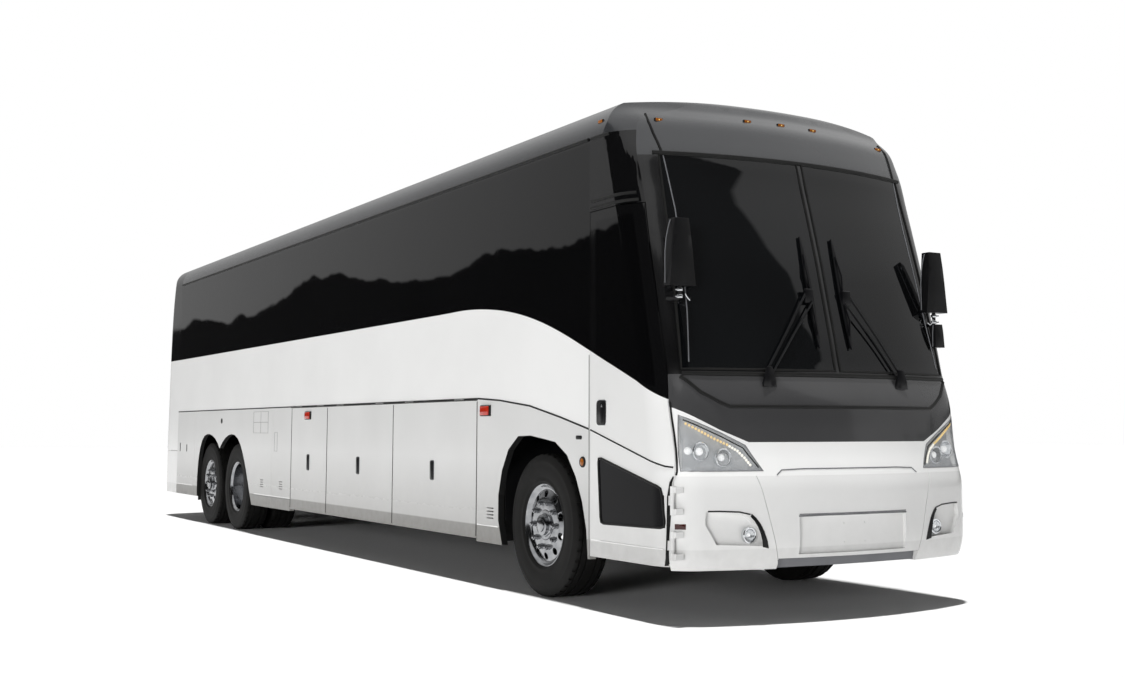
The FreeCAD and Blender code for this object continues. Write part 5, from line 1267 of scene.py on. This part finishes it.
# %% Build the wipers
satin_black = dark_finish("satin black powder coat", "#08080a", "#0e0e10", 0.3, 0.004, 0.0002)
wiper_pieces = []
tip_y, tip_z = 0.185, 2.15
spindle_section = [(0.0, -0.030), (0.012, -0.030), (0.017, -0.026), (0.019, -0.016), (0.019, 0.012),
                   (0.0, 0.012)]
for side in (-1, 1):
    def over_glass(y, z, stand):
        """A point that stands off the nose, at a distance across and a height."""
        return on_skin((9, side * y, z), ahead, nose) + Vector((stand, 0, 0))

    def rod(spots, radius, rings=3):
        """A round rod through points over the glass."""
        wiper_pieces.append(sweep([over_glass(*spot) for spot in spots], radius, sides=rings))

    for shift in (0.0, 0.052):
        wiper_pieces.append(spin_section(spindle_section, 20, behind, over_glass(0.60 - shift, 1.525, 0.006)))
    cover = [(0, -0.030, -0.028), (0, 0.082, -0.028), (0, 0.074, 0.02), (0, 0.045, 0.105), (0, 0.008, 0.105),
             (0, -0.02, 0.03)]
    hood = plate([(x, -side * y, z) for x, y, z in cover], (0.016, 0, 0), 0.004)
    wiper_pieces.append(placed(hood, over_glass(0.60, 1.53, 0.012)))
    rod([(0.585, 1.60, 0.022), (0.39, 1.87, 0.030), (tip_y, tip_z, 0.036)], 0.0085)
    rod([(0.535, 1.60, 0.022), (0.335, 1.86, 0.030), (tip_y - 0.045, tip_z - 0.06, 0.036)], 0.0065)
    head = over_glass(tip_y - 0.02, tip_z - 0.025, 0.033)
    wiper_pieces.append(block(head - Vector((0.014, 0.036, 0.05)), head + Vector((0.008, 0.036, 0.05)), 0.008,
                              3))
    blade = [(over_glass(0.14, z, 0.010), half) for z, half in (
        (1.765, 0.002), (1.82, 0.011), (1.95, 0.018), (2.10, 0.023), (2.22, 0.023), (2.38, 0.017),
        (2.50, 0.008), (2.55, 0.002))]
    outline = [tuple(p + Vector((0, -h, 0))) for p, h in blade] + [tuple(p + Vector((0, h, 0))) for p,
                                                                   h in blade[::-1]]
    wiper_pieces.append(plate(outline, (0.014, 0, 0), 0.002, 1))
    rod([(0.14, z, 0.005) for z in (1.775, 1.95, 2.15, 2.35, 2.54)], 0.0045, 2)
    for low, high in ((1.86, 2.08), (2.14, 2.42)):
        rod([(0.14, low, 0.026), (0.152, (low + high) / 2, 0.040), (0.14, high, 0.026)], 0.006, 2)
settle(join(wiper_pieces), "pantograph_wipers", "coach", satin_black, ["wipers"])
print("wipers built")

# %% [markdown]
# ## Handles, pulls and small fittings on the sides
# The doors open by black oval cups with an upright grip inside. Each cup is a rounded plate with a
# paler rim, laid on the skin, and the grip is a small bar. Near the rear wheels are a filler cap, a
# slot and the thin shut lines of a small service door. Their places repeat on the other side, apart
# from the handle of the entrance door, which turns with its door.

# %% Lay the handles and pulls
def rounded(centre_x, centre_z, width, height, y=side_y, share=0.96, steps=6):
    """A rounded outline in the side view, as points on a plane across the coach."""
    radius = min(width, height) / 2 * share
    points = []
    for quarter, (sx, sz) in enumerate(((1, 1), (-1, 1), (-1, -1), (1, -1))):
        for i in range(steps + 1):
            turn = math.pi / 2 * (quarter + i / steps)
            points.append((centre_x + sx * (width / 2 - radius) + radius * math.cos(turn), y,
                           centre_z + sz * (height / 2 - radius) + radius * math.sin(turn)))
    return points


def pull(centre_x, centre_z, width, height):
    """A black oval cup and its upright grip, on the right-hand side."""
    cup = plate(rounded(centre_x, centre_z, width, height, side_y - 0.0095, 0.4), (0, 0.012, 0), 0.001, 2)
    grip = plate(rounded(centre_x, centre_z, width * 0.42, height * 0.86, side_y - 0.0125), (0, 0.006, 0),
                 0.0025, 2)
    rim = sweep(rounded(centre_x, centre_z, width + 0.006, height + 0.006, side_y - 0.002, 0.4), 0.003, True,
                2)
    return [cup, grip], rim


for number, (front, rear) in enumerate(zip(flap_edges, flap_edges[1:]), 1):
    pieces, rim = pull((front + rear) / 2, 0.878, 0.066, 0.158)
    body = "luggage_door_*_%d" % number
    settle_sides(pieces, "pull_*_%d" % number, body, satin_black)
    settle_sides([rim], "pull_rim_*_%d" % number, body, rack_abs)
pieces, rim = pull(door_rear_x + 0.165, 1.339, 0.118, 0.165)
lock = spin_section([(0.0, -0.004), (0.009, -0.004), (0.011, -0.001), (0.011, 0.004), (0.0, 0.004)], 20,
                    place=(door_rear_x + 0.178, side_y - 0.010, 1.385))
settle(join(pieces), "door_handle_cup", "entrance_door", satin_black)
settle(join([rim, lock]), "door_handle_rim", "entrance_door", plated_steel)
print("pulls laid")

# %% Fit what is on the rear quarter
quarter = [plate(rounded(x, z, width, height, side_y - 0.003), (0, 0.005, 0), 0.0012, 2)
           for x, z, width, height in ((-5.761, 0.979, 0.03, 0.12), (-5.40, 0.97, 0.03, 0.10),
                                       (5.502, 1.169, 0.085, 0.028))]
quarter.append(spin_section([(0.0, -0.008), (0.024, -0.0075), (0.032, -0.004), (0.034, 0.001), (0.034, 0.006),
                             (0.0, 0.006)],
                            32, place=(-3.67, side_y, 1.33)))
settle_both(quarter, "side_catches", grained_abs)
box_left, box_right, box_foot, box_head = -2.282, -1.712, 1.183, 1.43
mid_x, mid_z = (box_left + box_right) / 2, (box_foot + box_head) / 2
box = [(box_left, box_foot), (box_right, box_foot), (box_right, box_head), (box_left, box_head)]
latch = [(-1.46, 0.98), (-1.36, 0.98), (-1.36, 1.19), (-1.46, 1.19)]
joints = [box, [(mid_x, box_foot), (mid_x, box_head)], [(box_left, mid_z), (box_right, mid_z)], latch,
          [(-2.28, 0.46), (-0.87, 0.46)]]
shut_lines = [sweep([(x, side_y, z) for x, z in line], 0.0022, len(line) > 2, 2) for line in joints]
settle_both(shut_lines, "service_shut_lines", rack_abs)
print("service door lines", len(shut_lines))

# %% [markdown]
# ## Marker lamps
# A marker lamp is an amber or red cap, clipped over a black base. The cap is the CAD block again,
# drawn as a softened shape, so that it glints like moulded acrylic.

# %% Clip on the marker lamps
side_red = lens_plastic("red acrylic", "#c8321c", "#a82414", 0.1)
amber_caps, red_caps, bases, sparks = [], [], [], []


def marker(centre, length, height, stand, heading):
    """A base and a cap on it, facing along -Y or +X."""
    across = Vector((length / 2, 0, 0)) if heading == "side" else Vector((0, length / 2, 0))
    out = Vector((0, -1, 0)) if heading == "side" else Vector((1, 0, 0))
    rise = Vector((0, 0, height / 2))

    def between(share, low, high):
        first = centre - across * share - rise * share + out * low
        last = centre + across * share + rise * share + out * high
        return [min(a, b) for a, b in zip(first, last)], [max(a, b) for a, b in zip(first, last)]

    base = block(*between(1.0, -0.012, stand * 0.6), stand * 0.15, 1)
    cap = block(*between(0.84, stand * 0.3, stand), stand * 0.25, 3)
    return base, cap


for y, z in ((-0.998, 3.355), (-0.296, 3.407), (0.0, 3.412), (0.296, 3.407), (0.998, 3.355)):
    base, cap = marker(on_skin((9, y, z), ahead, nose), 0.064, 0.024, 0.010, "front")
    bases.append(base)
    amber_caps.append(cap)
    core = sum((vertex.co for vertex in cap.data.vertices), Vector()) / len(cap.data.vertices)
    sparks.append(spin_section([(0.0, -0.0055), (0.004, -0.0045), (0.006, 0.0), (0.0, 0.0)], 12, ahead, core))
red_size = (0.175, 0.086, 0.024, "side")
base, cap = marker(Vector((4.012, side_y, 1.373)), *red_size)
bases += both_sides([base])
red_caps += both_sides([cap])
base, cap = marker(on_skin((5.765, -3, 3.372), rightward, ["roof_shell"]), 0.066, 0.024, 0.009, "side")
bases += both_sides([base])
amber_caps += both_sides([cap])
button = spin_section([(0.0, -0.018), (0.016, -0.0165), (0.026, -0.011), (0.028, 0.0), (0.0, 0.0)], 28,
                      place=(5.559, side_y, 1.0))
collar = spin_section([(0.027, -0.012), (0.033, -0.012), (0.038, -0.006), (0.038, 0.004), (0.027, 0.004),
                       (0.027, -0.012)],
                      28, place=(5.559, side_y, 1.0))
amber_caps += both_sides([button])
bases += both_sides([collar])
reflector = plate([(x, side_y, z) for x, z in ((6.627, 0.60), (6.681, 0.60), (6.681, 0.634), (6.627, 0.634))],
                  (0, 0.003, 0), 0.001, 1)
for vertex in reflector.data.vertices:
    depth = vertex.co.y - side_y
    skin = on_skin((vertex.co.x, -3, vertex.co.z), rightward, ["front_bumper"])
    vertex.co.y = skin.y - 0.003 + depth
smoked_red = lens_plastic("dark red acrylic", "#4a1410", "#300d0b", 0.1)
settle_both([reflector], "bumper_reflectors", smoked_red)
settle(join(sparks), "marker_bulbs", "coach", amber_diode)
settle(join(bases), "marker_bases", "coach", gasket_rubber)
settle(join(amber_caps), "amber_marker_caps", "coach", amber_lens, ["marker_lamps"])
settle(join(red_caps), "red_marker_caps", "coach", side_red)
base, cap = marker(Vector((-0.30, side_y, 1.372)), *red_size)
settle_sides([base], "rear_marker_base_*", "luggage_door_*_3", gasket_rubber)
settle_sides([cap], "rear_marker_cap_*", "luggage_door_*_3", side_red)
print("marker lamps clipped on")

# %% [markdown]
# ## Tail lamps and the grille
# The tail lamps are stacks of square units. Each one is a bezel with a round bulging lens, set into
# the shell. The engine door breathes through rows of slots, which are cut in the CAD solid.

# %% Set the tail lamp lenses
lens_section = [(0.0, -0.010), (0.03, -0.0085), (0.05, -0.004), (0.058, 0.004), (0.058, 0.02), (0.0, 0.02)]
bezel_section = [(0.0585, -0.002), (0.061, -0.006), (0.067, -0.006), (0.070, 0.0), (0.070, 0.02),
                 (0.0585, 0.02), (0.0585, -0.002)]
lamp_y, lamp_foot, lamp_pitch, reversing = -1.04, 1.085, 0.156, 1
lenses, bezels, clear_tail = [], [], []
for i in range(4):
    spot = on_skin((-9, lamp_y, lamp_foot + i * lamp_pitch), behind, ["tail_lamps"])
    (clear_tail if i == reversing else lenses).append(spin_section(lens_section, 40, behind, spot))
    bezels.append(spin_section(bezel_section, 40, behind, spot))
settle_both(lenses, "tail_lamp_lenses", side_red)
settle_both(clear_tail, "reversing_lenses", lit_glass)
settle_both(bezels, "tail_lamp_rings", bowl_metal)
print("tail lamps set")

# %% [markdown]
# ## Seats
# Coach seats are foam under a woven moquette cover, sewn to piping and pulled down along channels.
# A cushion swells where nothing holds it, so each pad is a subdivided block whose faces are crowned
# and whose channels are pressed in, which is then smoothed by a subdivision surface. One pair of
# seats is upholstered, and the twelve rows on each side are copies, each with its own mesh.

# %% Weave the moquette
moquette, tree, shader, place = new_finish("woven wool moquette")
warp, weft = [add_node(tree, "ShaderNodeTexWave", {"Scale": 60.0, "bands_direction": run, "Distortion": 0.4,
                                                   "Vector": place}).outputs["Fac"] for run in ("Y", "Z")]
weave = reckon(tree, "MULTIPLY", warp, weft)
shown = reckon(tree, "MULTIPLY_ADD", weave, 0.35, noise(tree, place, 0.02, 2.0))
colour = ramp(tree, shown, [(0.35, "#1d212b"), (0.62, "#2c3343"), (0.8, "#444b5c")])
fill(tree, shader, {"Base Color": colour, "Roughness": 0.9, "Sheen Weight": 0.4, "Sheen Roughness": 0.4})
bumped(tree, shader, weave, 0.5, 0.001)

# %% Upholster one seat
corner_share, channel_width, channel_depth = 0.28, 0.05, 0.008


def pad(low, high, crown, channels):
    """A foam pad between two corners: crowned faces, soft corners and channels across its width."""
    piece = block(low, high, min(b - a for a, b in zip(low, high)) * corner_share, 3)
    pick(piece)
    enter()
    bpy.ops.mesh.subdivide(number_cuts=3)
    leave()
    middle = [(a + b) / 2 for a, b in zip(low, high)]
    half = [(b - a) / 2 for a, b in zip(low, high)]
    thin = half.index(min(half))
    for vertex in piece.data.vertices:
        place = [(c - m) / h for c, m, h in zip(vertex.co, middle, half)]
        others = [place[k] for k in range(3) if k != thin]
        swell = (1 - others[0] ** 2) * (1 - others[1] ** 2)
        vertex.co[thin] += crown * swell * (1 if place[thin] > 0 else -0.3)
        for channel in channels:
            groove = math.exp(-((place[1] - channel) / channel_width) ** 2)
            vertex.co[thin] -= channel_depth * groove * max(place[thin], 0)
    return reshaped(piece, "SUBSURF", levels=1, render_levels=1)


def seat(width):
    """A cushion and a leaning back, about the front edge of the cushion at floor height."""
    half = width / 2 - 0.012
    cushion = pad((-0.45, -half, 0.325), (-0.012, half, 0.425), 0.012, (-0.45, 0.45))
    back = pad((-0.10, -half, -0.33), (-0.01, half, 0.33), 0.014, (-0.4, 0.4))
    back.data.transform(Matrix.Translation((-0.425, 0, 0.76)) @ Matrix.Rotation(-0.185, 4, "Y"))
    return [cushion, back]


pair_width = 0.4575
floor_height, seat_inner_y = 1.49, 0.30
first_seat_x, row_pitch, row_count = 4.68, 0.86, 12
one_seat = seat(pair_width)
pair_pads = join([moved(piece, (0, seat_inner_y + pair_width * (k + 0.5), floor_height))
                  for k in (0, 1) for piece in one_seat])
clear(one_seat)
seat_frame = join([block((-0.33, 0.34, 1.49), (-0.15, 0.38, 1.815), 0.004, 2),
                   block((-0.33, 1.13, 1.49), (-0.15, 1.17, 1.815), 0.004, 2),
                   block((-0.45, 0.31, 1.80), (-0.03, 1.205, 1.825), 0.006, 2)])
grab = sweep([(-0.60, 0.33, 2.44), (-0.615, 0.33, 2.575), (-0.615, 0.72, 2.59), (-0.615, 1.18, 2.575),
              (-0.60, 1.18, 2.44)],
             0.010, sides=3)
print("seat upholstered")

# %% Set out the seats
rows, frames = [], []
for row in range(row_count):
    place = (first_seat_x - row * row_pitch, 0, 0)
    rows += both_sides([moved(pair_pads, place)])
    frames += both_sides([moved(seat_frame, place), moved(grab, place)])
clear([pair_pads, seat_frame, grab])
passenger_pads = settle(join(rows), "passenger_seat_pads", "coach", moquette,
                        ["passenger_seats"])
settle(join(frames), "passenger_seat_frames", "coach", satin_black)
driver_pads = [placed(piece, (5.67 + 0.47, 0.62, 1.05)) for piece in seat(0.5)]
driver_seat = settle(join(driver_pads), "driver_seat_pads", "coach", moquette, ["driver_seat"])
settle(block((5.67 + 0.14, 0.42, 1.05), (5.67 + 0.40, 0.82, 1.38), 0.02, 3), "driver_seat_plinth", "coach",
       satin_black)
print("seats", row_count * 4 + 1)
